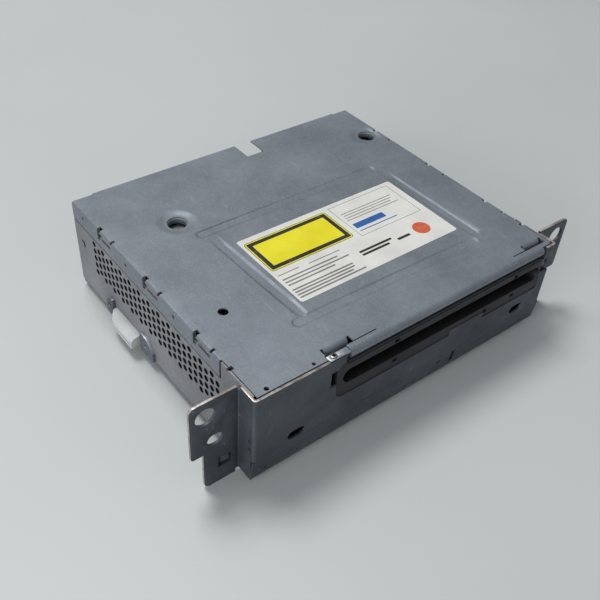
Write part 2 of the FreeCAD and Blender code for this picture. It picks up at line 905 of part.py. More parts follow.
def front_plate():
    piece = Piece("front_plate")
    ear_front = d.ear_back - d.plate_sheet
    stub = plate_half + d.plate_bend + d.plate_sheet
    piece.pad("XY", 0, top, loop(
        (-1 * stub, ear_front), (-1 * plate_half, ear_front, d.plate_inner_bend),
        (-1 * plate_half, 0, d.plate_bend), (plate_half, 0, d.plate_bend),
        (plate_half, ear_front, d.plate_inner_bend), (stub, ear_front),
        (stub, d.ear_back), (half_width, d.ear_back, d.plate_bend),
        (half_width, d.plate_sheet, d.plate_inner_bend),
        (-1 * half_width, d.plate_sheet, d.plate_inner_bend),
        (-1 * half_width, d.ear_back, d.plate_bend), (-1 * stub, d.ear_back)))
    for side in (-1, 1):
        piece.pad("XZ", ear_front, d.ear_back, loop(
            (side * (stub - d.plate_sheet), -1 * d.ear_drop),
            (side * d.ear_step_reach, -1 * d.ear_drop, d.ear_corner),
            (side * d.ear_step_reach, d.ear_step_height),
            (side * d.ear_reach, d.ear_step_height, d.ear_corner / 2),
            (side * d.ear_reach, top, d.ear_corner),
            (side * (stub - d.plate_sheet), top)))
    through = (ear_front - beyond, d.ear_back + beyond)
    for side in (-1, 1):
        window = side * d.ear_window_reach
        half_window = d.ear_window_width / 2
        window_floor = d.ear_window_height - d.ear_window_rise / 2
        slot_left = side * d.ear_slot_reach - d.ear_slot_length / 2
        piece.cut("XZ", *through,
                  ring(side * d.ear_hole_reach, d.ear_hole_height, d.ear_hole_bore),
                  slot(slot_left, slot_left + d.ear_slot_length, d.ear_slot_height,
                       d.ear_slot_width),
                  block(window - half_window, window + half_window,
                        window_floor, window_floor + d.ear_window_rise))
        piece.cut("XZ", *through, block(
            side * plate_half - d.ear_relief / 2, side * plate_half + d.ear_relief / 2,
            top - d.ear_relief, top + beyond))
    # the lower band leans in and folds under the chassis
    below = d.band_top
    piece.cut("XZ", -1 * beyond, d.plate_bend + d.plate_inner_bend,
              block(-1 * plate_half - beyond, plate_half + beyond, -1 * beyond, below))
    piece.pad("YZ", -1 * plate_half, plate_half, loop(
        (0, below), (d.band_lean, 0, d.band_bend), (d.band_flange, 0),
        (d.band_flange, d.plate_sheet), (d.band_lean + d.plate_sheet, d.plate_sheet,
                                         d.band_bend - d.plate_sheet),
        (d.plate_sheet, below)))
    front_cut = (-1 * beyond, d.plate_sheet + d.band_lean + beyond)
    piece.cut("XZ", *front_cut, loop(
        (-1 * d.window_left, d.window_floor, d.window_corner),
        (d.tongue_left, d.window_floor), (d.tongue_left, d.tongue_top),
        (d.tongue_right, d.tongue_top), (d.tongue_right, d.window_floor),
        (d.window_right, d.window_floor), (d.window_right, top + beyond),
        (-1 * d.window_left, top + beyond)))
    oval_left = -1 * d.plate_oval_left - d.plate_oval_length / 2
    oval_right = d.plate_oval_right - d.plate_oval_length / 2
    piece.cut("XZ", *front_cut,
              faceted_slot(oval_left, oval_left + d.plate_oval_length, d.plate_oval_height,
                           d.plate_oval_width),
              faceted_slot(oval_right, oval_right + d.plate_oval_length, d.plate_oval_height,
                           d.plate_oval_width),
              block(d.band_slit_place - d.band_slit_width / 2,
                    d.band_slit_place + d.band_slit_width / 2,
                    d.band_slit_low, d.band_slit_high),
              block(-1 * d.clip_left, d.clip_width - d.clip_left, d.clip_floor, d.clip_top))
    piece.cut("XZ", -1 * beyond, d.clip_width,
              block(d.window_right - beyond, plate_half + beyond, d.clip_floor, d.clip_top))
    piece.cut("XZ", *front_cut, block(
        -1 * d.tab_left - d.tab_gap, -1 * d.lip_left, under_top - d.seam_gap, top + beyond))
    # punched relief beside the bend of the left return
    reach = d.plate_bend + d.relief_bore
    piece.cut("YZ", -1 * plate_half - beyond, -1 * half_width + d.sheet, *[
        many_sided(reach, up, d.relief_bore, small_sides) for up in (d.relief_low, d.relief_high)])
    return piece


# Side walls, one sheet each with a foot flange and a step for the cover's skirt

def side_wall(name, side):
    piece = Piece(name)
    foot_low = d.sheet
    foot_high = 2 * d.sheet
    inner = half_width - d.sheet
    foot_in = half_width - d.wall_flange
    step_low = top - d.flange_drop - d.joggle_run
    step_high = top - d.flange_drop
    skirt_in = inner - d.seam_gap
    left, right = (inner, half_width) if side > 0 else (-1 * half_width, -1 * inner)
    piece.pad("XZ", d.wall_start, d.bottom_start, block(left, right, d.wall_bend, top))
    piece.pad("XZ", d.bottom_start, d.flange_start, loop(
        (side * half_width, foot_low, d.wall_bend), (side * half_width, top),
        (side * inner, top), (side * inner, foot_high, d.wall_bend - d.sheet),
        (side * foot_in, foot_high), (side * foot_in, foot_low)))
    piece.pad("XZ", d.flange_start, d.wall_end, loop(
        (side * half_width, foot_low, d.wall_bend), (side * half_width, step_low),
        (side * skirt_in, step_high), (side * skirt_in, under_top - 2 * d.seam_gap),
        (side * (skirt_in - d.sheet), under_top - 2 * d.seam_gap),
        (side * (skirt_in - d.sheet), step_high - d.seam_gap * 3),
        (side * inner, step_low - d.seam_gap * 3),
        (side * inner, foot_high, d.wall_bend - d.sheet),
        (side * foot_in, foot_high), (side * foot_in, foot_low)))
    screw_at = side * (half_width - d.bottom_screw_inset)
    piece.cut("XY", foot_low - beyond, foot_high + beyond,
              many_sided(screw_at, d.bottom_screw_front, d.bottom_screw_shank, small_sides),
              many_sided(screw_at, d.bottom_screw_rear, d.bottom_screw_shank, small_sides))
    return piece


def left_wall():
    piece = side_wall("left_wall", -1)
    outside = -1 * (half_width + beyond)
    inside = -1 * (half_width - d.sheet - beyond)
    run = d.vent_pitch * 2 * (d.vent_columns - 1)
    for first, rows, drop in ((d.vent_last, d.vent_long_rows, 0),
                              (d.vent_last - d.vent_pitch, d.vent_short_rows, 0.5)):
        column = [many_sided(first, d.vent_top - d.vent_rise * (row + drop), d.vent_bore,
                             vent_sides)
                  for row in range(int(rows.value))]
        vents = piece.cut("YZ", outside, inside, *column)
        piece.row(vents, "Y", run, d.vent_columns, backwards=True)
    lug_face = -1 * (half_width + d.lug_proud)
    wall_face = -1 * (half_width - d.sheet / 2)
    lug_top = d.lug_floor + d.lug_rise
    piece.pad("YZ", lug_face, wall_face,
              loop((d.front_lug_start, d.lug_floor), (d.front_lug_end, d.lug_floor),
                   (d.front_lug_end, lug_top), (d.front_lug_start, lug_top, d.lug_round)),
              loop((d.rear_lug_start, d.lug_floor), (d.rear_lug_end, d.lug_floor),
                   (d.rear_lug_end, lug_top, d.rear_lug_round), (d.rear_lug_start, lug_top)))
    piece.cut("YZ", lug_face - beyond, inside, *[
        many_sided((start + end) / 2, d.lug_hole_height, d.lug_hole_bore, small_sides)
        for start, end in ((d.front_lug_start, d.front_lug_end),
                           (d.rear_lug_start, d.rear_lug_end))])
    piece.pad("YZ", -1 * half_width - d.sheet / 2, wall_face, many_sided(
        d.wall_dimple_place, d.wall_dimple_height, d.wall_dimple_bore, middling_sides))
    return piece


def right_wall():
    # room for the sunk cone that reaches over this wall
    piece = side_wall("right_wall", 1)
    reach = d.dimple_bore / 2 + d.sheet
    piece.cut("YZ", half_width - 4 * d.sheet, half_width + beyond, block(
        d.dimple_right_place - reach, d.dimple_right_place + reach,
        under_top - d.dimple_depth - d.sheet, top))


def bottom_plate():
    piece = Piece("bottom_plate")
    half = half_width - d.bottom_inset
    piece.pad("XY", 0, d.sheet, block(-1 * half, half, d.bottom_start, d.wall_end))
    at = half_width - d.bottom_screw_inset
    piece.cut("XY", -1 * beyond, d.sheet + beyond, *[
        many_sided(side * at, place, d.bottom_screw_bore, small_sides)
        for side in (-1, 1) for place in (d.bottom_screw_front, d.bottom_screw_rear)])
    return piece


def bottom_screws():
    piece = Piece("bottom_screws")
    at = half_width - d.bottom_screw_inset
    for side in (-1, 1):
        for place in (d.bottom_screw_front, d.bottom_screw_rear):
            piece.stack("XY", (side * at, place), small_sides,
                        (-1 * d.bottom_screw_head_rise, 0 * d.sheet, d.bottom_screw_head),
                        (-1 * d.bottom_screw_head_rise, d.bottom_screw_length,
                         d.bottom_screw_shank))
    return piece


antenna_end = d.body_depth + d.connector_reach - d.antenna_short
board_top = d.board_floor + d.board_thick


def rear_panel():
    piece = Piece("rear_panel")
    half = half_width - 2 * d.sheet - d.seam_gap * 2
    low = 2 * d.sheet
    back = d.wall_end - d.sheet
    piece.pad("XZ", back, d.wall_end, block(-1 * half, half, low, under_top - d.seam_gap))
    fit = d.connector_fit
    piece.cut("XZ", back - beyond, d.wall_end + beyond,
              block(-1 * d.connector_left - fit, d.connector_width - d.connector_left + fit,
                    board_top - fit, board_top + d.connector_rise + fit),
              block(-1 * d.antenna_left - fit, d.antenna_width - d.antenna_left + fit,
                    d.antenna_floor - fit, d.antenna_floor + d.antenna_rise + fit),
              block(d.notch_left, d.notch_right, d.notch_floor, top))
    return piece


# Top cover: pressed sheet with a skirt on each side and a rolled front lip

def top_cover():
    piece = Piece("top_cover")
    inner = half_width - d.sheet
    skirt = top - d.flange_drop
    piece.pad("XZ", d.flange_start, d.wall_end, loop(
        (half_width, skirt), (half_width, top, d.cover_bend),
        (-1 * half_width, top, d.cover_bend), (-1 * half_width, skirt),
        (-1 * inner, skirt), (-1 * inner, under_top, d.cover_inner_bend),
        (inner, under_top, d.cover_inner_bend), (inner, skirt)))
    edge = d.plate_sheet + 2 * d.seam_gap
    lip_root = d.lip_stand + d.lip_round
    clear = inner - d.seam_gap
    tab_behind = d.tab_end + d.tab_gap
    piece.pad("XY", under_top, top, loop(
        (-1 * clear, edge), (-1 * d.tab_left - d.tab_gap, edge),
        (-1 * d.tab_left - d.tab_gap, tab_behind), (-1 * d.lip_left, tab_behind),
        (-1 * d.lip_left, lip_root), (d.lip_right, lip_root), (d.lip_right, edge),
        (clear, edge), (clear, d.flange_start), (-1 * clear, d.flange_start)))
    piece.pad("YZ", -1 * d.lip_left, d.lip_right, loop(
        (d.lip_stand, top - d.lip_drop), (d.lip_stand, top, d.lip_round),
        (lip_root + d.sheet, top), (lip_root + d.sheet, under_top),
        (d.lip_stand + d.sheet, under_top, d.lip_round - d.sheet),
        (d.lip_stand + d.sheet, top - d.lip_drop)))
    piece.pad("XY", under_top, top, block(
        -1 * d.cover_tongue_left, d.cover_tongue_right, d.wall_end, d.body_depth))

    # stiffening beads round the sticker
    def beads(width):
        spread = (width - d.bead_width) / 2
        sides = (d.bead_side_start - spread, d.bead_side_end + spread)
        across = (-1 * d.bead_cross_left - spread, d.bead_cross_right + spread)
        return (faceted_slot(*sides, -1 * d.bead_left, width, upright=True),
                faceted_slot(*sides, d.bead_right, width, upright=True),
                faceted_slot(*across, d.bead_front, width),
                faceted_slot(*across, d.bead_rear, width))

    piece.pad("XY", under_top - d.bead_depth, under_top + d.sheet / 4,
              *beads(d.bead_width + d.sheet))
    piece.cut("XY", top - d.bead_depth, top, *beads(d.bead_width))

    # sunk cones that give reach to the transport screws
    places = ((-1 * d.dimple_left, d.dimple_left_place), (d.dimple_right, d.dimple_right_place))
    floor_top = top - d.dimple_depth
    for across, place in places:
        def disc(bore):
            return many_sided(across, place, bore, large_sides)

        piece.taper("XY", floor_top - d.sheet, under_top + d.sheet / 2,
                    disc(d.dimple_floor_bore + d.sheet), disc(d.dimple_bore + d.sheet))
        piece.taper("XY", floor_top, top, disc(d.dimple_floor_bore), disc(d.dimple_bore),
                    kind="SubtractiveLoft")
        piece.cut("XY", floor_top - d.sheet - beyond, top + beyond,
                  many_sided(across, place, d.dimple_hole_bore, middling_sides))

    through = (under_top - beyond, top + beyond)
    piece.cut("XY", *through,
              block(d.notch_left, d.notch_right, d.notch_start, d.body_depth + beyond))
    piece.cut("XY", *through,
              many_sided(-1 * d.big_hole_left, d.big_hole_place, d.big_hole_bore,
                         middling_sides),
              many_sided(-1 * d.corner_hole_left, d.front_hole_place, d.corner_hole_bore,
                         small_sides),
              many_sided(-1 * d.edge_hole_left, d.front_hole_place, d.edge_hole_bore,
                         small_sides),
              block(-1 * d.left_pocket_left, -1 * d.left_pocket_right,
                    d.pocket_start, d.pocket_end),
              block(d.right_pocket_left, d.right_pocket_right, d.pocket_start, d.pocket_end))
    piece.cut("XY", *through,
              block(-1 * d.left_pocket_right - d.sheet, -1 * d.left_slit_right,
                    d.pocket_start, d.pocket_start + d.slit_width),
              block(d.right_slit_left, d.right_pocket_left + d.sheet,
                    d.pocket_start, d.pocket_start + d.slit_width))

    # spring clips lanced out of the skirt
    line = d.clip_line_height
    for low, high in ((half_width - d.sheet - beyond, half_width + beyond),
                      (-1 * half_width - beyond, d.sheet + beyond - half_width)):
        clip = piece.cut("YZ", low, high, loop(
            (d.clip_first - d.clip_line_length, line), (d.clip_first, line),
            (d.clip_first, d.clip_slit_top), (d.clip_first - d.slit_width, d.clip_slit_top),
            (d.clip_first - d.slit_width, line + d.clip_line_width),
            (d.clip_first - d.clip_line_length, line + d.clip_line_width)),
            many_sided(d.clip_first + d.flange_hole_ahead, d.flange_hole_height,
                       d.flange_hole_bore, vent_sides))
        piece.row(clip, "Y", d.clip_pitch * 2, 3, backwards=True)
    return piece


def slot_bezel():
    piece = Piece("slot_bezel")
    back = d.bezel_set + d.bezel_sheet
    piece.pad("XZ", d.bezel_set, back,
              block(-1 * d.bezel_left, d.bezel_right, d.bezel_floor, d.bezel_top))
    mouth = (d.disc_bore + d.slot_spare) / 2
    wall = d.collar_wall
    piece.pad("XZ", back - d.bezel_sheet / 2, back + d.collar_depth,
              slot(middle - mouth - wall, middle + mouth + wall, d.slot_height,
                   d.slot_rise + 2 * wall))
    piece.cut("XZ", d.bezel_set - beyond, back + d.collar_depth + beyond,
              slot(middle - mouth, middle + mouth, d.slot_height, d.slot_rise))

    def square(across, up):
        return block(across - d.bezel_hole_width / 2, across + d.bezel_hole_width / 2,
                     up - d.bezel_hole_rise / 2, up + d.bezel_hole_rise / 2)

    piece.cut("XZ", d.bezel_set - beyond, back, *[
        square(across, up)
        for across, up in ((-1 * d.bezel_hole_left, d.bezel_upper_hole),
                           (d.bezel_hole_right, d.bezel_upper_hole),
                           (-1 * d.bezel_hole_left, d.bezel_lower_hole),
                           (d.bezel_hole_middle, d.bezel_lower_hole),
                           (d.bezel_hole_right, d.bezel_lower_hole))])
    # snap hooks that show in the plate's two clip openings
    hook_low = d.clip_floor + d.sheet
    hook = (hook_low, hook_low + d.hook_rise)
    left = -1 * d.clip_left + d.clip_width - d.sheet
    piece.pad("XZ", d.plate_sheet / 2, back,
              block(left - d.hook_width, left, *hook),
              block(d.bezel_right - d.hook_width, d.bezel_right, *hook))
    return piece


felt_face = d.bezel_set + d.bezel_sheet + d.collar_depth


def felts():
    mouth = (d.disc_bore + d.slot_spare) / 2
    reach = d.slot_rise / 2 + d.felt_lap
    for name, low, high in (
            ("upper_felt", d.slot_height + d.felt_gap / 2, d.slot_height + reach),
            ("lower_felt", d.slot_height - reach, d.slot_height - d.felt_gap / 2)):
        piece = Piece(name)
        piece.pad("XZ", felt_face, felt_face + d.felt_thick,
                  block(middle - mouth, middle + mouth, low, high))


def front_tab():
    piece = Piece("front_tab")
    piece.pad("YZ", -1 * d.tab_left, -1 * d.tab_right, loop(
        (d.tab_start, under_top), (d.tab_end - d.sheet, under_top),
        (d.tab_end - d.sheet, under_top - d.tab_leg), (d.tab_end, under_top - d.tab_leg),
        (d.tab_end, top, d.sheet), (d.tab_start, top)))
    at = (-1 * d.tab_screw_left, d.tab_screw_place)
    piece.cut("XY", under_top - beyond, top + beyond,
              many_sided(*at, d.tab_screw_shank, middling_sides))
    screw = Piece("front_tab_screw")
    screw.stack("XY", at, middling_sides,
                (top - d.tab_screw_length, top + d.tab_screw_rise, d.tab_screw_shank),
                (top, top + d.tab_screw_rise, d.tab_screw_head))


def label_sheet():
    piece = Piece("label_sheet")
    piece.pad("XY", top, top + d.label_thick,
              block(-1 * d.label_left, d.label_right, d.label_start, d.label_end))


def side_bumper():
    # hollow plastic pad with a crowned face, open towards the rear below
    piece = Piece("side_bumper")
    face = -1 * (half_width + d.bumper_reach)
    back = -1 * half_width
    outline = loop((d.bumper_start, d.bumper_floor, d.bumper_round),
                   (d.bumper_end, d.bumper_floor, d.bumper_round),
                   (d.bumper_end, d.bumper_top, d.bumper_round),
                   (d.bumper_start, d.bumper_top, d.bumper_round))
    piece.pad("YZ", face, back, outline)
    middle_y = (d.bumper_start + d.bumper_end) / 2
    crown = d.bumper_end - d.bumper_start
    piece.cut("XY", d.bumper_floor - beyond, d.bumper_top + beyond,
              loop((face - beyond, d.bumper_start - beyond), (face - beyond, middle_y - crown / 4),
                   (face + d.bumper_wall, d.bumper_start - beyond)),
              loop((face - beyond, d.bumper_end + beyond), (face - beyond, middle_y + crown / 4),
                   (face + d.bumper_wall, d.bumper_end + beyond)))
    wall = d.bumper_wall
    piece.cut("YZ", face + 2 * wall, back + beyond,
              block(d.bumper_start + wall, middle_y - wall / 2,
                    d.bumper_floor + wall, d.bumper_top - wall),
              block(middle_y + wall / 2, d.bumper_end - wall,
                    d.bumper_floor + wall, d.bumper_top - wall))


# Drive frame: a tray of sheet that stands on four legs and borders the disc bay

bay_half = d.disc_bore / 2 + d.frame_spare
frame_half = bay_half + d.frame_sheet
frame_left = middle - frame_half
tray_top = d.frame_floor + d.frame_sheet


def drive_frame():
    piece = Piece("drive_frame")
    piece.pad("XZ", d.frame_start, d.frame_end, loop(
        (frame_left, d.frame_top), (frame_left, d.frame_floor, d.frame_bend),
        (middle + frame_half, d.frame_floor, d.frame_bend), (middle + frame_half, d.frame_top),
        (middle + bay_half, d.frame_top), (middle + bay_half, tray_top, d.frame_inner_bend),
        (middle - bay_half, tray_top, d.frame_inner_bend), (middle - bay_half, d.frame_top)))
    piece.pad("XZ", d.frame_end - d.frame_sheet, d.frame_end,
              block(frame_left, middle + frame_half, d.frame_floor + d.frame_bend,
                    d.frame_rear_top))
    piece.cut("XY", d.frame_floor - beyond, tray_top + beyond, loop(
        (middle - d.frame_opening_half, d.frame_opening_start, d.deck_corner),
        (middle + d.frame_opening_half, d.frame_opening_start, d.deck_corner),
        (middle + d.frame_opening_half, d.frame_opening_end, d.deck_corner),
        (middle - d.frame_opening_half, d.frame_opening_end, d.deck_corner)))
    for low in (frame_left, middle + bay_half):
        piece.pad("YZ", low, low + d.frame_sheet,
                  block(d.leg_front, d.leg_front + d.leg_length, d.sheet,
                        d.frame_floor + 2 * d.frame_bend),
                  block(d.leg_rear, d.leg_rear + d.leg_length, d.sheet,
                        d.frame_floor + 2 * d.frame_bend))
    # shelves for the transport screws
    shelf_top = d.shelf_height + d.sheet
    left_place = d.dimple_left_place - d.transport_screw_ahead
    right_place = d.dimple_right_place - d.transport_screw_ahead
    piece.pad("XZ", left_place - d.shelf_length / 2, left_place + d.shelf_length / 2, loop(
        (frame_left, d.frame_top - beyond), (frame_left, d.shelf_height),
        (frame_left - d.shelf_left_reach, d.shelf_height),
        (frame_left - d.shelf_left_reach, shelf_top), (frame_left + d.frame_sheet, shelf_top),
        (frame_left + d.frame_sheet, d.frame_top - beyond)))
    right = middle + frame_half
    piece.pad("XZ", right_place - d.shelf_length / 2, right_place + d.shelf_length / 2, loop(
        (right, d.frame_top - beyond), (right, shelf_top), (right - d.shelf_right_reach, shelf_top),
        (right - d.shelf_right_reach, d.shelf_height),
        (right - d.frame_sheet, d.shelf_height), (right - d.frame_sheet, d.frame_top - beyond)))
    piece.cut("XY", d.shelf_height - beyond, shelf_top + beyond,
              many_sided(-1 * d.dimple_left, left_place, d.transport_screw_shank, small_sides),
              many_sided(d.dimple_right, right_place, d.transport_screw_shank, small_sides))
    # notch for the roller shaft and bores for the bracket's pivots
    swing = d.roller_swing + d.roller_shaft
    piece.cut("YZ", frame_left - beyond, frame_left + d.frame_sheet + beyond,
              block(d.frame_start - beyond, d.roller_place + d.roller_shaft,
                    d.roller_height - swing, d.roller_height + swing))
    pivot = d.pivot_bore + 2 * d.running_gap
    for low in (frame_left, middle + bay_half):
        piece.cut("YZ", low - merge, low + d.frame_sheet + merge,
                  ring(d.bracket_place, d.bracket_height, pivot))
    # stud of the drive pulley
    stud_end = pulley_inner - d.side_gap - d.stud_past
    piece.pad("YZ", stud_end, frame_left + d.frame_sheet / 2,
              ring(d.drive_place, d.drive_height, d.drive_stud))
    # rivets that carry the mode slider
    neck_end = frame_left - 2 * d.side_gap - d.slider_thick
    for place in (d.rivet_front, d.rivet_rear):
        piece.stack("YZ", (place, d.rivet_height), middling_sides,
                    (neck_end - d.rivet_head_thick / 2, frame_left + d.frame_sheet / 2,
                     d.rivet_neck),
                    (neck_end - d.rivet_head_thick, neck_end, d.rivet_head))
    # bridge that holds the loading motor outside the belt
    face = motor_face
    piece.pad("XZ", d.motor_place - d.motor_mount_half, d.motor_place + d.motor_mount_half, loop(
        (frame_left + d.frame_sheet, d.frame_top - beyond),
        (frame_left + d.frame_sheet, d.motor_mount_top), (face, d.motor_mount_top),
        (face, d.motor_mount_floor), (face + d.frame_sheet, d.motor_mount_floor),
        (face + d.frame_sheet, d.motor_mount_top - d.frame_sheet),
        (frame_left, d.motor_mount_top - d.frame_sheet), (frame_left, d.frame_top - beyond)))
    piece.cut("YZ", face - beyond, face + d.frame_sheet + beyond, many_sided(
        d.motor_place, d.motor_height, d.motor_shaft + 4 * d.side_gap, middling_sides))
    return piece


gear_outer = frame_left - d.side_gap
gear_inner = gear_outer - d.gear_width
pulley_outer = gear_inner
pulley_inner = pulley_outer - d.pulley_width
motor_face = pulley_inner - d.pulley_clear - d.frame_sheet


def transport_screws():
    piece = Piece("transport_screws")
    seat = d.shelf_height + d.sheet
    for across, place in ((-1 * d.dimple_left, d.dimple_left_place),
                          (d.dimple_right, d.dimple_right_place)):
        at = (across, place - d.transport_screw_ahead)
        crown = seat + d.transport_screw_rise
        piece.pad("XY", seat - d.transport_screw_length, seat + d.sheet / 2,
                  many_sided(0, 0, d.transport_screw_shank, small_sides), at=at)
        piece.pad("XY", seat, crown,
                  many_sided(0, 0, d.transport_screw_head, middling_sides), at=at)


def disc_guide():
    # channel that keeps the disc down on the roller
    piece = Piece("disc_guide")
    high = d.guide_floor + d.guide_rise
    start = d.guide_start
    end = d.guide_end
    piece.pad("YZ", middle - bay_half, middle + bay_half, loop(
        (start, high), (start, d.guide_floor, d.frame_bend),
        (end, d.guide_floor, d.frame_bend), (end, high), (end - d.frame_sheet, high),
        (end - d.frame_sheet, d.guide_floor + d.frame_sheet, d.frame_inner_bend),
        (start + d.frame_sheet, d.guide_floor + d.frame_sheet, d.frame_inner_bend),
        (start + d.frame_sheet, high)))


def roller_bracket():
    piece = Piece("roller_bracket")
    arm = d.bracket_arm / 2
    shaft = d.roller_shaft + 2 * d.running_gap
    half = d.bracket_half
    sheet = d.frame_sheet
    web_top = d.bracket_web_height + sheet
    for low in (middle - half - sheet, middle + half):
        piece.pad("YZ", low, low + sheet, loop(
            (d.bracket_place + arm, d.bracket_web_height),
            (d.bracket_place + arm, d.bracket_height + arm, arm),
            (d.bracket_place - arm, d.bracket_height + arm),
            (d.roller_place - arm + d.bracket_chamfer, d.roller_height + arm - d.bracket_chamfer),
            (d.roller_place - arm, d.roller_height + arm - 2 * d.bracket_chamfer),
            (d.roller_place - arm, d.roller_height - arm),
            (d.bracket_web_start, d.bracket_web_height)))
    piece.pad("XY", d.bracket_web_height, web_top, block(
        middle - half - sheet, middle + half + sheet, d.bracket_web_start, d.bracket_web_end))
    for low in (middle - half - sheet, middle + half):
        piece.cut("YZ", low - beyond, low + sheet + beyond, ring(d.roller_place, d.roller_height, shaft))
    piece.pad("YZ", frame_left - d.side_gap / 2, middle - half - sheet / 2,
              ring(d.bracket_place, d.bracket_height, d.pivot_bore))
    piece.pad("YZ", middle + half + sheet / 2, middle + frame_half + d.side_gap / 2,
              ring(d.bracket_place, d.bracket_height, d.pivot_bore))


# the lifted roller's gear meets the drive gear tooth to gap
lift = -math.radians(value_of(d.roller_lift))
arm_back = value_of(d.roller_place - d.bracket_place)
arm_up = value_of(d.roller_height - d.bracket_height)
lifted_place = arm_back * math.cos(lift) - arm_up * math.sin(lift)
lifted_height = arm_back * math.sin(lift) + arm_up * math.cos(lift)
feed_angle = math.degrees(math.atan2(
    value_of(d.drive_height - d.bracket_height) - lifted_height,
    value_of(d.drive_place - d.bracket_place) - lifted_place))


def feed_roller():
    at = (d.roller_place, d.roller_height)
    sleeve = Piece("roller_sleeve")
    bore = d.roller_shaft / 2
    left = middle - d.roller_half
    right = middle + d.roller_half
    end = many_sided(*at, d.roller_bore, large_sides)
    waist = many_sided(*at, d.roller_waist, large_sides)
    sleeve.taper("YZ", left, middle, end, waist)
    sleeve.taper("YZ", middle, right, waist, end)
    sleeve.cut("YZ", left - beyond, right + beyond, ring(*at, d.roller_shaft))
    shaft_end = middle + d.bracket_half + d.frame_sheet + d.roller_shaft_past
    shaft = Piece("roller_shaft")
    shaft.turn("X", at, loop(
        (gear_inner, 0), (shaft_end, 0), (shaft_end, bore), (gear_inner, bore)))
    gear = Piece("roller_gear")
    spur_teeth(gear, "YZ", gear_inner, gear_outer, d.roller_gear_teeth, d.roller_shaft, at,
               turn=feed_angle + value_of(d.roller_lift))


def belt_drive():
    at = (d.drive_place, d.drive_height)
    stud = d.drive_stud + 2 * d.running_gap
    pulley = Piece("drive_pulley")
    spur_teeth(pulley, "YZ", gear_inner, gear_outer, d.drive_gear_teeth, stud, at,
               turn=feed_angle + 180 + 180 / value_of(d.drive_gear_teeth))
    rim = d.pulley_rim
    groove_low = d.pulley_width / 2 - d.belt_width / 2 - d.running_gap

    def wind_round(piece, at, bore, sides):
        piece.stack("YZ", at, sides,
                    (pulley_inner, pulley_inner + groove_low, bore + 2 * rim),
                    (pulley_inner + groove_low / 2, pulley_outer - groove_low / 2, bore),
                    (pulley_outer - groove_low, pulley_outer, bore + 2 * rim))

    wind_round(pulley, at, d.drive_pulley_bore, large_sides)
    pulley.cut("YZ", pulley_inner - beyond, gear_outer + beyond, ring(*at, stud))
    motor_at = (d.motor_place, d.motor_height)
    small = Piece("motor_pulley")
    wind_round(small, motor_at, d.motor_pulley_bore, middling_sides)
    small.cut("YZ", pulley_inner - beyond, pulley_outer + beyond, ring(*motor_at, d.motor_shaft))
    shaft = Piece("motor_shaft")
    shaft.turn("X", motor_at, block(motor_face - d.motor_shaft_depth, pulley_outer, 0, d.motor_shaft / 2))
    belt = Piece("drive_belt")
    low = (pulley_outer + pulley_inner) / 2 - d.belt_width / 2
    inner = 2 * d.running_gap
    outer = inner + 2 * d.belt_thick
    belt.pad("YZ", low, low + d.belt_width,
             belt_round(*at, d.drive_pulley_bore + outer, *motor_at, d.motor_pulley_bore + outer),
             belt_round(*at, d.drive_pulley_bore + inner, *motor_at, d.motor_pulley_bore + inner))


def loading_motor():
    piece = Piece("loading_motor")
    at = (d.motor_place, d.motor_height)
    piece.stack("YZ", at, large_sides, (motor_face - d.motor_length, motor_face, d.motor_bore))
    piece.cut("YZ", motor_face - d.motor_shaft_depth - beyond, motor_face + beyond,
              ring(*at, d.motor_shaft + 2 * d.running_gap))


def mode_slider():
    piece = Piece("mode_slider")
    outer = frame_left - d.side_gap
    inner = outer - d.slider_thick
    piece.pad("YZ", inner, outer, loop(
        (d.slider_start, d.slider_floor), (d.slider_end, d.slider_floor, d.slider_round),
        (d.slider_end, d.slider_top, d.slider_round),
        (d.slider_start + d.slider_slant_run, d.slider_top),
        (d.slider_start, d.slider_top - d.slider_slant_drop)))
    play = d.slot_play
    width = d.rivet_neck + play
    for place in (d.rivet_front, d.rivet_rear):
        piece.cut("YZ", inner - beyond, outer + beyond,
                  slot(place - d.slider_back - d.rivet_neck / 2 - play,
                       place + d.slider_forward + d.rivet_neck / 2 + play,
                       d.rivet_height, width))
    # slanted cam windows between the rivets
    run = d.slider_back + d.slider_forward
    cam = (d.rivet_front + d.rivet_rear) / 2
    cam_low = d.slider_floor + d.cam_margin
    cam_high = d.slider_top - d.cam_margin
    piece.cut("YZ", inner - beyond, outer + beyond, loop(
        (cam - run, cam_low), (cam - run + d.cam_width, cam_low),
        (cam + run, cam_high), (cam + run - d.cam_width, cam_high)))


# Floating deck with everything that rides on it

deck_top = d.deck_height + d.deck_sheet
lens_place = d.disc_place + d.pickup_inner
bracket_front = d.deck_end - d.deck_sheet
ear_inner = d.arm_half + d.ear_gap
mesh_distance = d.gear_module * (d.screw_teeth + d.pinion_teeth) / 2 + d.mesh_play
sled_motor_drop = d.rod_height - d.sled_motor_height
sled_motor_across = middle + d.rod_half + root_of_squares(mesh_distance, sled_motor_drop)


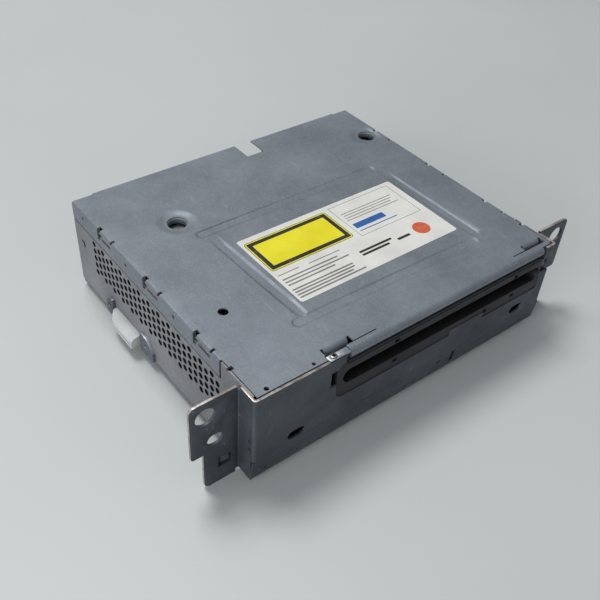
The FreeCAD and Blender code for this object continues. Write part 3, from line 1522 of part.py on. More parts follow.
def deck_plate():
    piece = Piece("deck_plate")
    left = middle - d.deck_half
    right = middle + d.deck_half
    piece.pad("XY", d.deck_height, deck_top, loop(
        (left, d.deck_start, d.deck_corner), (right, d.deck_start, d.deck_corner),
        (right, d.deck_end), (left, d.deck_end)))
    bracket_left = middle - d.rod_half - d.rod_bracket_side
    bracket_step = sled_motor_across - d.sled_bracket_half
    bracket_right = sled_motor_across + d.sled_bracket_half
    bracket_low = d.sled_motor_height - d.sled_bracket_below
    piece.pad("XZ", bracket_front, d.deck_end, loop(
        (bracket_left, d.deck_height), (bracket_step, d.deck_height),
        (bracket_step, bracket_low), (bracket_right, bracket_low),
        (bracket_right, d.rod_ear_top), (bracket_left, d.rod_ear_top)))
    rod_ear = d.rod_ear_width / 2
    for across in (middle - d.rod_half, middle + d.rod_half):
        piece.pad("XZ", d.rod_start, d.rod_start + d.deck_sheet,
                  block(across - rod_ear, across + rod_ear, deck_top - merge, d.rod_ear_top))
    ear_low = d.arm_pivot_place - d.pivot_ear_margin
    ear_high = d.arm_pivot_height + d.pivot_ear_margin
    for low in (middle - ear_inner - d.ear_sheet, middle + ear_inner):
        piece.pad("YZ", low, low + d.ear_sheet, loop(
            (ear_low, deck_top - merge), (d.deck_end, deck_top - merge),
            (d.deck_end, ear_high, d.pivot_ear_round), (ear_low, ear_high, d.pivot_ear_round)))
    window_start = lens_place - d.sled_ahead - d.side_gap
    window_end = lens_place + d.pickup_travel + d.sled_behind + d.side_gap
    piece.cut("XY", d.deck_height - beyond, deck_top + beyond,
              block(middle - d.deck_window_half, middle + d.deck_window_half,
                    window_start, window_end),
              many_sided(middle, d.disc_place, d.spindle_boss_bore, middling_sides))
    loose = 2 * d.running_gap
    piece.cut("XZ", d.rod_start - beyond, d.deck_end + beyond,
              ring(middle - d.rod_half, d.rod_height, d.rod_bore),
              ring(middle + d.rod_half, d.rod_height, d.rod_bore + loose))
    piece.cut("XZ", bracket_front - beyond, d.deck_end + beyond,
              ring(sled_motor_across, d.sled_motor_height, d.sled_motor_shaft + loose))
    for low in (middle - ear_inner - d.ear_sheet, middle + ear_inner):
        piece.cut("YZ", low - merge, low + d.ear_sheet + merge,
                  ring(d.arm_pivot_place, d.arm_pivot_height, d.arm_pin_bore))


damper_places = (
    (middle - d.damper_half, d.damper_front),
    (middle + d.damper_half, d.damper_front),
    (middle - d.damper_half, d.damper_rear))


def deck_dampers():
    piece = Piece("deck_dampers")
    rise = d.deck_height - tray_top
    for place in damper_places:
        piece.stack("XY", place, small_sides,
                    (tray_top, tray_top + rise / 3, d.damper_bore),
                    (tray_top + rise / 4, d.deck_height - rise / 4, d.damper_waist),
                    (d.deck_height - rise / 3, d.deck_height, d.damper_bore))


def deck_springs():
    piece = Piece("deck_springs")
    wire = d.spring_wire
    rise = d.deck_height - tray_top - wire
    for across, place in damper_places:
        coil = piece.sketch("XZ", -1 * place, [block(
            d.spring_bore / 2 - wire, d.spring_bore / 2, tray_top, tray_top + wire)],
            at=(across, 0))
        helix = piece.feature("AdditiveHelix", coil)
        helix.ReferenceAxis = (coil, ["V_Axis"])
        helix.Mode = 2
        helix.Height = value_of(rise)
        helix.Turns = value_of(d.spring_turns)
        bind(helix, "Height", rise)
        bind(helix, "Turns", d.spring_turns)


def spindle():
    at = (middle, d.disc_place)
    shaft = d.spindle_shaft / 2
    motor_floor = d.deck_height - d.spindle_motor_rise
    boss_top = d.deck_height + d.spindle_boss_rise
    motor = Piece("spindle_motor")
    motor.stack("XY", at, large_sides, (motor_floor, d.deck_height, d.spindle_motor_bore))
    motor.stack("XY", at, middling_sides,
                (motor_floor + d.sheet, boss_top, d.spindle_boss_bore))
    motor.cut("XY", motor_floor + d.sheet, boss_top + beyond,
              ring(*at, d.spindle_shaft + 2 * d.running_gap))
    axle = Piece("spindle_shaft")
    cone_top = d.platter_top + d.cone_rise
    axle.turn("Z", at, block(0, shaft, motor_floor + 2 * d.sheet, cone_top))
    table = Piece("turntable")
    under = d.platter_top - d.platter_thick
    table.stack("XY", at, middling_sides,
                (boss_top + d.platter_stand, d.platter_top, d.platter_hub))
    table.stack("XY", at, large_sides, (under, d.platter_top, d.platter_bore))
    table.taper("XY", d.platter_top, cone_top, many_sided(*at, d.cone_base, large_sides),
                many_sided(*at, d.cone_tip, large_sides))
    table.cut("XY", under - d.platter_hub, cone_top + beyond, ring(*at, d.spindle_shaft))


def pickup():
    sled = Piece("pickup_sled")
    start = lens_place - d.sled_ahead
    end = lens_place + d.sled_behind
    boss = d.sled_boss
    for across in (middle - d.rod_half, middle + d.rod_half):
        sled.pad("XZ", start, end, many_sided(across, d.rod_height, boss, middling_sides))
    sled.pad("XY", d.sled_floor, d.sled_top, loop(
        (middle - d.rod_half, start + d.sled_slant), (middle - d.sled_web_half, start),
        (middle + d.sled_web_half, start), (middle + d.rod_half, start + d.sled_slant),
        (middle + d.rod_half, end - d.sled_slant), (middle + d.sled_web_half, end),
        (middle - d.sled_web_half, end), (middle - d.rod_half, end - d.sled_slant)))
    loose = 2 * d.running_gap
    for across in (middle - d.rod_half, middle + d.rod_half):
        sled.cut("XZ", start - beyond, end + beyond, ring(across, d.rod_height, d.rod_bore + loose))
    at = (middle, lens_place)
    seat = d.sled_top - d.lens_sunk
    sled.cut("XY", seat, d.sled_top + beyond, many_sided(*at, d.lens_bore, middling_sides))
    lens = Piece("pickup_lens")
    lens.stack("XY", at, middling_sides, (seat, seat + d.lens_rise, d.lens_bore))
    lens.stack("XY", at, middling_sides,
               (seat + d.lens_rise, seat + d.lens_rise + d.lens_dome_rise, d.lens_dome_bore))
    rod = Piece("guide_rod")
    rod.turn("Y", (middle - d.rod_half, d.rod_height),
             block(d.rod_start, d.deck_end, 0, d.rod_bore / 2))


def lead_screw():
    at = (middle + d.rod_half, d.rod_height)
    screw = Piece("lead_screw")
    gear_start = d.deck_end + d.side_gap
    gear_end = gear_start + d.gear_width
    screw.turn("Y", at, block(d.rod_start, gear_end, 0, d.rod_bore / 2))
    gear = Piece("screw_gear")
    spur_teeth(gear, "XZ", gear_start, gear_end, d.screw_teeth, d.rod_bore, at)
    motor_at = (sled_motor_across, d.sled_motor_height)
    pinion = Piece("motor_pinion")
    spur_teeth(pinion, "XZ", gear_start, gear_end, d.pinion_teeth, d.sled_motor_shaft, motor_at,
               turn=pinion_turn)
    shaft = Piece("sled_motor_shaft")
    shaft.turn("Y", motor_at, block(bracket_front - d.sled_shaft_depth, gear_end, 0, d.sled_motor_shaft / 2))
    motor = Piece("sled_motor")
    bore = d.sled_motor_shaft + 2 * d.running_gap
    start = bracket_front - d.sled_motor_length
    motor.stack("XZ", motor_at, large_sides, (start, bracket_front, d.sled_motor_bore))
    motor.cut("XZ", bracket_front - d.sled_shaft_depth - beyond, bracket_front + beyond,
              ring(*motor_at, bore))


# the pinion's first tooth points into a gap of the screw's gear
mesh_angle = math.degrees(math.atan2(
    value_of(sled_motor_drop), value_of(sled_motor_across - middle - d.rod_half)))
screw_step = 360 / value_of(d.screw_teeth)
pinion_step = 360 / value_of(d.pinion_teeth)
gear_phase = (-mesh_angle) % screw_step
pinion_turn = 180 - mesh_angle + pinion_step * (0.5 + gear_phase / screw_step)


def clamp():
    arm = Piece("clamp_arm")
    low = d.arm_height
    high = low + d.arm_sheet
    rear = d.arm_pivot_place + d.arm_rear_past
    tip = d.disc_place - d.arm_tip_past
    broad = d.arm_half
    narrow = d.arm_tip_half
    shoulder = d.arm_pivot_place - d.arm_flange_length
    neck = shoulder - d.arm_shoulder_run
    ear_end = rear + d.arm_ear_behind
    arm.pad("XY", low, high, loop(
        (middle - broad, rear), (middle - broad, shoulder), (middle - narrow, neck),
        (middle - narrow, tip, d.arm_tip_round), (middle + narrow, tip, d.arm_tip_round),
        (middle + narrow, neck), (middle + broad, shoulder), (middle + broad, rear)))
    for side in (-1, 1):
        outer = middle + side * broad
        inner = middle + side * (broad - d.arm_sheet)
        left, right = (outer, inner) if side < 0 else (inner, outer)
        arm.pad("YZ", left, right, loop(
            (shoulder, low + d.arm_sheet / 2), (shoulder, low - d.arm_step),
            (d.arm_pivot_place - d.arm_ear_ahead, high - d.arm_flange),
            (ear_end, high - d.arm_flange, d.arm_ear_round), (ear_end, low + d.arm_sheet / 2)))
        arm.cut("YZ", left - merge, right + merge,
                ring(d.arm_pivot_place, d.arm_pivot_height, d.arm_pin_bore + 2 * d.running_gap))
    arm.cut("XY", low - beyond, high + beyond,
            ring(middle, d.disc_place, d.clamper_neck + 2 * d.running_gap))
    pin = Piece("arm_pin")
    half = ear_inner + d.ear_sheet
    pin.turn("X", (d.arm_pivot_place, d.arm_pivot_height),
             block(middle - half, middle + half, 0, d.arm_pin_bore / 2))
    clamper = Piece("clamper")
    under = low - d.clamper_play
    over = high + d.clamper_play
    at = (middle, d.disc_place)
    clamper.stack("XY", at, large_sides, (d.clamper_floor, under, d.clamper_bore))
    clamper.pad("XY", under - d.clamper_play, over + d.clamper_play, ring(*at, d.clamper_neck))
    clamper.stack("XY", at, large_sides, (over, over + d.clamper_cap_rise, d.clamper_cap))
    clamper.cut("XY", d.clamper_floor - beyond, d.clamper_floor + d.clamper_recess_rise,
                many_sided(*at, d.clamper_recess, large_sides))


# Boards, connectors and what stands on the board

def main_board():
    piece = Piece("main_board")
    piece.pad("XY", d.board_floor, board_top,
              block(-1 * d.board_half, d.board_half, d.board_start, d.board_end))
    gap = d.board_gap
    notches = []
    for left in (frame_left, middle + bay_half):
        for start in (d.leg_front, d.leg_rear):
            notches.append(block(left - gap, left + d.frame_sheet + gap,
                                 start - gap, start + d.leg_length + gap))
    piece.cut("XY", d.board_floor - beyond, board_top + beyond, *notches)
    posts = Piece("board_posts")
    inset = d.post_inset
    across = half_width - d.wall_flange - d.post_bore / 2 - d.post_stand_off
    for side in (-1, 1):
        for place in (d.board_start + inset, d.board_end - inset):
            posts.pad("XY", d.sheet, d.board_floor,
                      many_sided(side * across, place, d.post_bore, small_sides))
    return piece


def tuner_module():
    # folded can with a stepped lid
    piece = Piece("tuner_module")
    left = -1 * d.tuner_left
    right = d.tuner_width - d.tuner_left
    end = d.tuner_start + d.tuner_length
    fold = d.tuner_fold
    lid = board_top + d.tuner_rise
    step = d.tuner_step
    piece.pad("XY", board_top, lid - fold,
              block(left + step, right - step, d.tuner_start + step, end - step))
    piece.pad("XY", lid - d.tuner_lid_rise, lid, loop(
        (left, d.tuner_start, fold), (right, d.tuner_start, fold), (right, end, fold),
        (left, end, fold)))


def board_capacitors():
    piece = Piece("board_capacitors")
    can = piece.pad("XY", board_top, board_top + d.capacitor_rise,
                    many_sided(-1 * d.capacitor_left, d.capacitor_place, d.capacitor_bore,
                               middling_sides))
    piece.row(can, "X", d.capacitor_pitch * (d.capacitor_count - 1), d.capacitor_count)


def heat_sink():
    piece = Piece("heat_sink")
    left = -1 * d.sink_left
    right = d.sink_width - d.sink_left
    lid = board_top + d.sink_rise
    end = d.sink_start + d.sink_length
    piece.pad("XY", board_top, lid, block(right - d.sink_base, right, d.sink_start, end))
    fin = piece.pad("XY", board_top, lid,
                    block(left, right - d.sink_base / 2, d.sink_start, d.sink_start + d.sink_fin))
    piece.row(fin, "Y", d.sink_length - d.sink_fin, d.sink_fins)
    amplifier = Piece("power_amplifier")
    centre = (d.sink_start + end) / 2
    low = board_top + d.amplifier_lift
    amplifier.pad("XY", low, low + d.amplifier_rise, block(
        right, right + d.amplifier_thick, centre - d.amplifier_length / 2,
        centre + d.amplifier_length / 2))
    lead_face = right + d.amplifier_thick / 2
    lead_start = centre - d.amplifier_length / 2 + d.lead_inset
    leads = amplifier.pad("XY", board_top, low + merge, block(
        lead_face, lead_face + d.lead_thick, lead_start, lead_start + d.lead_width))
    amplifier.row(leads, "Y", d.amplifier_length - 2 * d.lead_inset - d.lead_width, d.lead_count)


def connectors():
    main = Piece("main_connector")
    left = -1 * d.connector_left
    right = d.connector_width - d.connector_left
    rear = d.body_depth + d.connector_reach
    lid = board_top + d.connector_rise
    start = rear - d.connector_depth
    main.pad("XZ", start, rear, block(left, right, board_top, lid))
    wall = d.connector_wall
    centre = (left + right) / 2
    main.cut("XZ", rear - d.connector_socket_depth, rear + beyond,
             block(left + wall, centre - wall / 2, board_top + wall, lid - wall),
             block(centre + wall / 2, right - wall, board_top + wall, lid - wall))
    antenna = Piece("antenna_sockets")
    left = -1 * d.antenna_left
    right = d.antenna_width - d.antenna_left
    lid = d.antenna_floor + d.antenna_rise
    start = antenna_end - d.antenna_depth
    antenna.pad("XZ", start, antenna_end,
                block(left, right, d.antenna_floor, lid))
    foot = d.antenna_foot
    antenna.pad("XZ", start, start + foot,
                block(right - foot, right, board_top, d.antenna_floor + d.sheet))
    at = ((left + right) / 2, (d.antenna_floor + lid) / 2)
    antenna.cut("XZ", antenna_end - d.antenna_socket_depth, antenna_end + beyond,
                many_sided(*at, d.antenna_socket, middling_sides),
                many_sided(*at, d.antenna_pin, small_sides))


def ribbon_cable():
    piece = Piece("ribbon_cable")
    face = d.frame_end + d.ribbon_stand
    left = middle - d.ribbon_offset
    high = d.frame_rear_top + d.ribbon_stand
    thick = d.ribbon_thick
    piece.pad("YZ", left - d.ribbon_width, left, loop(
        (face, board_top), (face + thick, board_top), (face + thick, high + thick, d.ribbon_bend),
        (d.frame_end - d.ribbon_fold, high + thick), (d.frame_end - d.ribbon_fold, high),
        (face, high, d.ribbon_inner_bend)))


front_plate()
left_wall()
right_wall()
bottom_plate()
bottom_screws()
rear_panel()
top_cover()
slot_bezel()
felts()
front_tab()
label_sheet()
side_bumper()
drive_frame()
transport_screws()
disc_guide()
roller_bracket()
feed_roller()
belt_drive()
loading_motor()
mode_slider()
deck_plate()
deck_dampers()
deck_springs()
spindle()
pickup()
lead_screw()
clamp()
main_board()
tuner_module()
board_capacitors()
heat_sink()
connectors()
ribbon_cable()
doc.recompute()

# every object has to be sound before anything is written
for thing in doc.Objects:
    if "Invalid" in thing.State or "Error" in thing.State:
        raise RuntimeError(f"{thing.Name} failed: {thing.State}")
for feature in cuts:
    if feature.BaseFeature.Shape.Volume - feature.Shape.Volume < 1e-4:
        raise RuntimeError(f"{feature.Name} cuts nothing")
os.makedirs("parts", exist_ok=True)
for piece in pieces:
    shape = piece.body.Shape
    if shape.isNull() or not shape.isValid():
        raise RuntimeError(f"{piece.name} has no sound shape")
for piece in pieces:
    piece.body.Shape.exportStep(f"parts/{piece.name}.step")
print(f"{len(pieces)} pieces written")
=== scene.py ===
# Looks of the slot-loading disc player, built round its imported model
import json
import math

import bmesh
import bpy
from mathutils import Matrix, Vector

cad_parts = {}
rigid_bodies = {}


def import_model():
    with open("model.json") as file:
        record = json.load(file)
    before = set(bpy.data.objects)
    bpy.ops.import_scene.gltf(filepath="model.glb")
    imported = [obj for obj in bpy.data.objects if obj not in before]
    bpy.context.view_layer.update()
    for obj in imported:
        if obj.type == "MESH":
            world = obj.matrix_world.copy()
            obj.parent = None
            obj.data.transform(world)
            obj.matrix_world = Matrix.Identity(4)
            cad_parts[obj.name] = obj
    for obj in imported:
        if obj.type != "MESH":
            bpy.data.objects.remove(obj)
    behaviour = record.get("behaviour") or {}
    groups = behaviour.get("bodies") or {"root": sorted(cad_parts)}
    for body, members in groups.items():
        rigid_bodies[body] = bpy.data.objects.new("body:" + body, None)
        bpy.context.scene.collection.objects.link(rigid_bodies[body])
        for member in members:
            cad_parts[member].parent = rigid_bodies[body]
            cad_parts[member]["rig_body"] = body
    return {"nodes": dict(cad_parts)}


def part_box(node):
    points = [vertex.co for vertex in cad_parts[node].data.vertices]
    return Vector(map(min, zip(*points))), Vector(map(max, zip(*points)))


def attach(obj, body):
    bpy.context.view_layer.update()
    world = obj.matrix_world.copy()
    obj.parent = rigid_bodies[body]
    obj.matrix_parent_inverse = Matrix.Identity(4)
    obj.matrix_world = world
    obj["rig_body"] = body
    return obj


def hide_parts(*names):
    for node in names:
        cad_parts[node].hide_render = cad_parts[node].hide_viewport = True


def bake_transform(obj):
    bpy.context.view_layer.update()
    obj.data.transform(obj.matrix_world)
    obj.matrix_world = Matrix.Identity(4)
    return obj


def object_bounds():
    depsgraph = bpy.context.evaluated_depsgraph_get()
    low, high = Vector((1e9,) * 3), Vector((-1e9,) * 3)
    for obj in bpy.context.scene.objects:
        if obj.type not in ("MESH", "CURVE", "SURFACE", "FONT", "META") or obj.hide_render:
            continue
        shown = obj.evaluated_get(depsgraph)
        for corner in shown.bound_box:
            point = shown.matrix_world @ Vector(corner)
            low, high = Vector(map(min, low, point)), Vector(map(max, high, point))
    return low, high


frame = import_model()
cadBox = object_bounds()
print("frame loaded")

# The player's own millimetres: x from the middle, y back from the front plate, z up from the bottom
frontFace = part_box("front_plate")[0][1]
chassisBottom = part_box("bottom_plate")[0][2]
playerPlace = Matrix.Translation((0, frontFace, chassisBottom)) @ Matrix.Scale(0.001, 4)


def linear(red, green, blue):
    def channel(value):
        value /= 255
        return value / 12.92 if value <= 0.04045 else ((value + 0.055) / 1.055) ** 2.4
    return (channel(red), channel(green), channel(blue), 1.0)


# Node trees

class Nodes:
    # adds nodes to one tree and joins them
    def __init__(self, tree):
        self.tree = tree

    def add(self, kind, inputs=None, **settings):
        node = self.tree.nodes.new(kind)
        for name, value in settings.items():
            setattr(node, name, value)
        for name, value in (inputs or {}).items():
            self.feed(node.inputs[name], value)
        return node

    def feed(self, socket, value):
        if isinstance(value, bpy.types.NodeSocket):
            self.tree.links.new(value, socket)
        else:
            socket.default_value = value

    def math(self, operation, first, second):
        return self.add("ShaderNodeMath", {0: first, 1: second}, operation=operation).outputs[0]


class Finish(Nodes):
    # the tree of one procedural material
    def __init__(self, name):
        self.material = bpy.data.materials.new(name)
        self.material.use_nodes = True
        super().__init__(self.material.node_tree)
        self.tree.nodes.clear()
        self.shader = self.add("ShaderNodeBsdfPrincipled")
        output = self.add("ShaderNodeOutputMaterial")
        self.feed(output.inputs["Surface"], self.shader.outputs["BSDF"])
        self.where = self.add("ShaderNodeTexCoord").outputs["Object"]

    def spread(self, value, low, high, start=0.35, end=0.65):
        # a texture's value brought to another range
        node = self.add("ShaderNodeMapRange", {
            "Value": value, "From Min": start, "From Max": end, "To Min": low, "To Max": high})
        return node.outputs["Result"]

    def blend(self, factor, first, second, mode="MIX"):
        node = self.add("ShaderNodeMix", data_type="RGBA", blend_type=mode)
        for index, value in ((0, factor), (6, first), (7, second)):
            self.feed(node.inputs[index], value)
        return node.outputs[2]

    def tones(self, value, look):
        return self.blend(self.spread(value, 0.0, 1.0), linear(*look["dark"]),
                          linear(*look["pale"]))

    def noise(self, scale, detail=3.0, rough=0.55, run=None):
        # run squeezes the noise into marks along an axis
        where = self.where
        if run is not None:
            where = self.add("ShaderNodeMapping", {"Vector": where, "Scale": run}).outputs["Vector"]
        node = self.add("ShaderNodeTexNoise", {
            "Vector": where, "Scale": scale, "Detail": detail, "Roughness": rough})
        return node.outputs["Fac"]

    def bump(self, height, distance, under=None):
        node = self.add("ShaderNodeBump", {
            "Height": height, "Distance": distance, "Strength": 1.0})
        if under is not None:
            self.feed(node.inputs["Normal"], under)
        return node.outputs["Normal"]

    def coat(self, values):
        for name, value in values.items():
            self.feed(self.shader.inputs[name], value)
        return self.material


def sheetFinish(name, look):
    # rolled and plated sheet: cloudy tone, fine speckle and a few light scratches
    finish = Finish(name)
    clouds = finish.noise(look["cloud"], 5.0)
    speckle = finish.noise(look["speckle"], 2.0)
    crystals = finish.add("ShaderNodeTexVoronoi", {
        "Vector": finish.where, "Scale": look["crystal"]})
    grey = finish.spread(crystals.outputs["Color"], 0.5 - look["spangle"],
                         0.5 + look["spangle"], 0.0, 1.0)
    tone = finish.blend(0.6, finish.tones(clouds, look), grey, "OVERLAY")
    fleck = finish.spread(speckle, 0.0, look["fleck"], 0.5, 0.7)
    tone = finish.blend(fleck, tone, linear(*look["fleckColour"]))
    lines = finish.noise(1.0, 2.0, run=look["scratchRun"])
    scratch = finish.spread(lines, 0.0, look["scratch"], 0.68, 0.72)
    tone = finish.blend(scratch, tone, linear(*look["scratchColour"]))
    gloss = finish.spread(finish.noise(look["cloud"] * 3, 4.0), *look["roughness"])
    waves = finish.bump(clouds, look["wave"])
    return finish.coat({"Base Color": tone, "Metallic": look["metallic"], "Roughness": gloss,
                        "Normal": finish.bump(speckle, look["grain"], waves)})


def mouldedFinish(name, look):
    # moulded plastic or rubber with a fine spark-eroded grain
    finish = Finish(name)
    grain = finish.noise(look["speckle"], 2.0)
    dust = finish.spread(finish.noise(look["cloud"] * 6, 6.0, 0.7), 0.0, look["dust"],
                         0.55, 0.75)
    tone = finish.blend(dust, finish.tones(finish.noise(look["cloud"], 4.0), look),
                        linear(*look["dustColour"]))
    return finish.coat({"Base Color": tone, "Roughness": finish.spread(grain, *look["roughness"]),
                        "Normal": finish.bump(grain, look["grain"])})


def turnedFinish(name, look):
    # turned or stamped bright metal with fine tool marks
    finish = Finish(name)
    marks = finish.noise(1.0, run=look["marks"])
    return finish.coat({
        "Base Color": finish.tones(finish.noise(look["cloud"], 4.0), look), "Metallic": 1.0,
        "Roughness": finish.spread(marks, *look["roughness"]),
        "Normal": finish.bump(marks, look["grain"])})


def feltFinish(name, look):
    # short dark fibres across the slot
    finish = Finish(name)
    fibres = finish.noise(1.0, run=look["fibres"])
    return finish.coat({"Base Color": finish.tones(fibres, look), "Roughness": look["roughness"],
                        "Sheen Weight": look["sheen"],
                        "Normal": finish.bump(fibres, look["grain"])})


def paperFinish(name, look):
    # coated sticker with rubbed marks
    finish = Finish(name)
    clouds = finish.noise(look["cloud"], 5.0)
    smudge = finish.spread(finish.noise(look["cloud"] * 4, 6.0, 0.7), 0.0, look["smudge"],
                           0.58, 0.78)
    tone = finish.blend(smudge, finish.tones(clouds, look), linear(*look["smudgeColour"]))
    return finish.coat({"Base Color": tone, "Roughness": finish.spread(clouds, *look["roughness"]),
                        "Normal": finish.bump(clouds, look["grain"])})


def lensFinish(name, look):
    # coated glass of the pickup's lens
    finish = Finish(name)
    haze = finish.noise(look["haze"])
    return finish.coat({"Base Color": finish.tones(haze, look),
                        "Roughness": finish.spread(haze, *look["roughness"]),
                        "Coat Weight": look["coat"]})


# Sheet metal finishes; scratchRun squeezes the noise into long marks
sheetLook = {
    "cloud": 28.0, "speckle": 1500.0, "crystal": 420.0, "spangle": 0.05,
    "dark": (112, 119, 127), "pale": (127, 134, 142),
    "fleck": 0.42, "fleckColour": (152, 158, 166),
    "scratch": 0.16, "scratchColour": (172, 177, 184), "scratchRun": (420.0, 50.0, 200.0),
    "metallic": 0.4, "roughness": (0.46, 0.6), "wave": 0.00008, "grain": 0.00001}

sheets = {
    "coverZinc": {},
    "wallZinc": {"dark": (116, 117, 120), "pale": (140, 140, 143),
                 "scratchRun": (150.0, 40.0, 420.0)},
    "frameZinc": {"dark": (98, 102, 108), "pale": (120, 124, 130)},
    "plateSteel": {"dark": (56, 61, 68), "pale": (72, 78, 86), "cloud": 40.0,
                   "fleckColour": (96, 102, 108), "fleck": 0.2, "spangle": 0.03,
                   "scratchColour": (150, 152, 156), "scratch": 0.25,
                   "metallic": 0.2, "roughness": (0.44, 0.58)},
    "wornZinc": {"dark": (116, 115, 113), "pale": (150, 148, 143), "cloud": 300.0},
    # painted shade: the lugs darker than the wall they are pressed from; painted light: the
    # ear-window flaps lighter than the plate
    "lugZinc": {"dark": (78, 82, 90), "pale": (98, 103, 112)},
    "plateCut": {"dark": (150, 141, 136), "pale": (204, 196, 190),
                 "cloud": 260.0, "crystal": 900.0, "spangle": 0.12, "fleck": 0.5,
                 "fleckColour": (120, 96, 84), "metallic": 0.7,
                 "roughness": (0.3, 0.5)},
    # bright zinc of the tab and tuner can, also the painted highlight along the lugs' upper rims
    "tabZinc": {"dark": (150, 160, 170), "pale": (182, 190, 198),
                "crystal": 700.0, "spangle": 0.14, "metallic": 0.75, "roughness": (0.3, 0.42)},
    "sinkAluminium": {"dark": (38, 40, 44), "pale": (52, 54, 59),
                      "fleckColour": (80, 82, 86), "fleck": 0.15,
                      "metallic": 0.3, "roughness": (0.4, 0.55)},
}

mouldedLook = {
    "cloud": 35.0, "speckle": 2600.0, "dark": (24, 26, 31), "pale": (35, 38, 44),
    "dust": 0.12, "dustColour": (72, 75, 82), "roughness": (0.52, 0.68), "grain": 0.00001}

mouldings = {
    "bezelPlastic": {},
    "mouthShade": {"dark": (9, 9, 11), "pale": (15, 15, 18), "dust": 0.0},
    "bumperWhite": {"dark": (184, 187, 187), "pale": (200, 202, 201), "cloud": 90.0,
                    "dust": 0.3, "dustColour": (160, 156, 148), "speckle": 900.0,
                    "roughness": (0.38, 0.55), "grain": 0.00003},
    "palePlastic": {"dark": (190, 184, 168), "pale": (206, 200, 184),
                    "dustColour": (150, 144, 130)},
    "beltRubber": {"dark": (20, 20, 21), "pale": (30, 30, 31),
                   "roughness": (0.6, 0.8)},
    "rollerRubber": {"dark": (52, 50, 49), "pale": (64, 62, 60),
                     "roughness": (0.55, 0.75)},
    "damperRubber": {"dark": (58, 46, 42), "pale": (72, 58, 52),
                     "roughness": (0.5, 0.7)},
    "boardGreen": {"dark": (22, 74, 48), "pale": (34, 96, 62), "cloud": 120.0,
                   "dustColour": (90, 120, 96), "roughness": (0.3, 0.45)},
    "sleeveBlack": {"dark": (26, 28, 40), "pale": (36, 38, 54),
                    "roughness": (0.28, 0.4)},
    "ribbonFilm": {"dark": (168, 172, 178), "pale": (196, 200, 205),
                   "roughness": (0.3, 0.42)},
}

turnedLook = {"marks": (900.0, 900.0, 60.0), "cloud": 60.0, "dark": (168, 170, 174),
              "pale": (196, 198, 202), "roughness": (0.2, 0.38), "grain": 0.000004}

turnings = {
    "screwSteel": {},
    "brassScrew": {"dark": (146, 142, 126), "pale": (192, 188, 168)},
    "brassGear": {"dark": (176, 142, 74), "pale": (206, 172, 98)},
    "motorSteel": {"dark": (136, 138, 142), "pale": (164, 166, 170),
                   "marks": (60.0, 900.0, 900.0)},
    "shaftSteel": {"dark": (184, 186, 190), "pale": (210, 212, 216),
                   "roughness": (0.12, 0.25)},
    "springSteel": {"dark": (150, 150, 152), "pale": (180, 180, 182)},
    "sledMetal": {"dark": (140, 142, 146), "pale": (168, 170, 174),
                  "roughness": (0.35, 0.5)},
}

feltLook = {"fibres": (2600.0, 2600.0, 300.0), "dark": (8, 9, 11), "pale": (24, 25, 29),
            "roughness": 0.95, "sheen": 0.2, "grain": 0.00012}

lensLook = {"haze": 300.0, "dark": (52, 58, 92), "pale": (74, 82, 120),
            "roughness": (0.04, 0.1), "coat": 0.6}

paperLook = {"cloud": 60.0, "smudge": 0.35, "smudgeColour": (150, 148, 140),
             "roughness": (0.32, 0.45), "grain": 0.00006}

papers = {
    "labelPaper": {"dark": (214, 214, 207), "pale": (226, 226, 219)},
    "inkYellow": {"dark": (222, 210, 12), "pale": (236, 226, 24)},
    "inkBlack": {"dark": (24, 24, 26), "pale": (38, 38, 40)},
    "inkGrey": {"dark": (112, 112, 112), "pale": (132, 132, 130)},
    "inkBlue": {"dark": (28, 84, 156), "pale": (44, 102, 172)},
    "inkOrange": {"dark": (196, 82, 46), "pale": (210, 98, 60)},
}

finishes = {}
for make, common, kinds in (
        (sheetFinish, sheetLook, sheets), (mouldedFinish, mouldedLook, mouldings),
        (turnedFinish, turnedLook, turnings), (feltFinish, feltLook, {"slotFelt": {}}),
        (lensFinish, lensLook, {"lensGlass": {}}), (paperFinish, paperLook, papers)):
    for name, look in kinds.items():
        finishes[name] = make(name, {**common, **look})
print("finishes made")


# Mesh helpers, all in the player's millimetres

def addBlock(bm, low, high):
    corners = [(x, y, z) for x in (low[0], high[0]) for y in (low[1], high[1])
               for z in (low[2], high[2])]
    verts = [bm.verts.new(corner) for corner in corners]
    for face in ((0, 1, 3, 2), (4, 6, 7, 5), (0, 4, 5, 1), (2, 3, 7, 6), (0, 2, 6, 4),
                 (1, 5, 7, 3)):
        bm.faces.new([verts[index] for index in face])


axisTurns = {
    "X": Matrix(((0, 0, 1), (1, 0, 0), (0, 1, 0))),   # outline's across is y, up is z
    "Y": Matrix(((1, 0, 0), (0, 0, 1), (0, 1, 0))),   # across is x, up is z
    "Z": Matrix(((1, 0, 0), (0, 1, 0), (0, 0, 1))),   # across is x, up is y
}


def addPrism(bm, axis, outline, low, high):
    # closed outline carried from one height to another along an axis
    turn = axisTurns[axis]
    rings = [[bm.verts.new(turn @ Vector((across, up, away))) for across, up in outline]
             for away in (low, high)]
    count = len(outline)
    faces = [bm.faces.new(rings[0][::-1]), bm.faces.new(rings[1])]
    for index in range(count):
        after = (index + 1) % count
        faces.append(bm.faces.new((rings[0][index], rings[0][after], rings[1][after],
                                   rings[1][index])))
    return faces


def addLathe(bm, x, y, profile, thick, sides=48):
    # sheet of one thickness turned round an upright axis; profile of radius and height
    inner = [(max(radius - thick * 0.2, 0.1), height - thick) for radius, height in profile]
    loop = profile + tuple(reversed([(radius - thick if index < len(profile) - 1 else radius,
                                      height) for index, (radius, height) in enumerate(inner)]))
    rings = []
    for side in range(sides):
        turn = 2 * math.pi * side / sides
        rings.append([bm.verts.new((x + radius * math.cos(turn), y + radius * math.sin(turn),
                                    height)) for radius, height in loop])
    for side in range(sides):
        near, far = rings[side], rings[(side + 1) % sides]
        for index in range(len(loop)):
            after = (index + 1) % len(loop)
            bm.faces.new((near[index], near[after], far[after], far[index]))


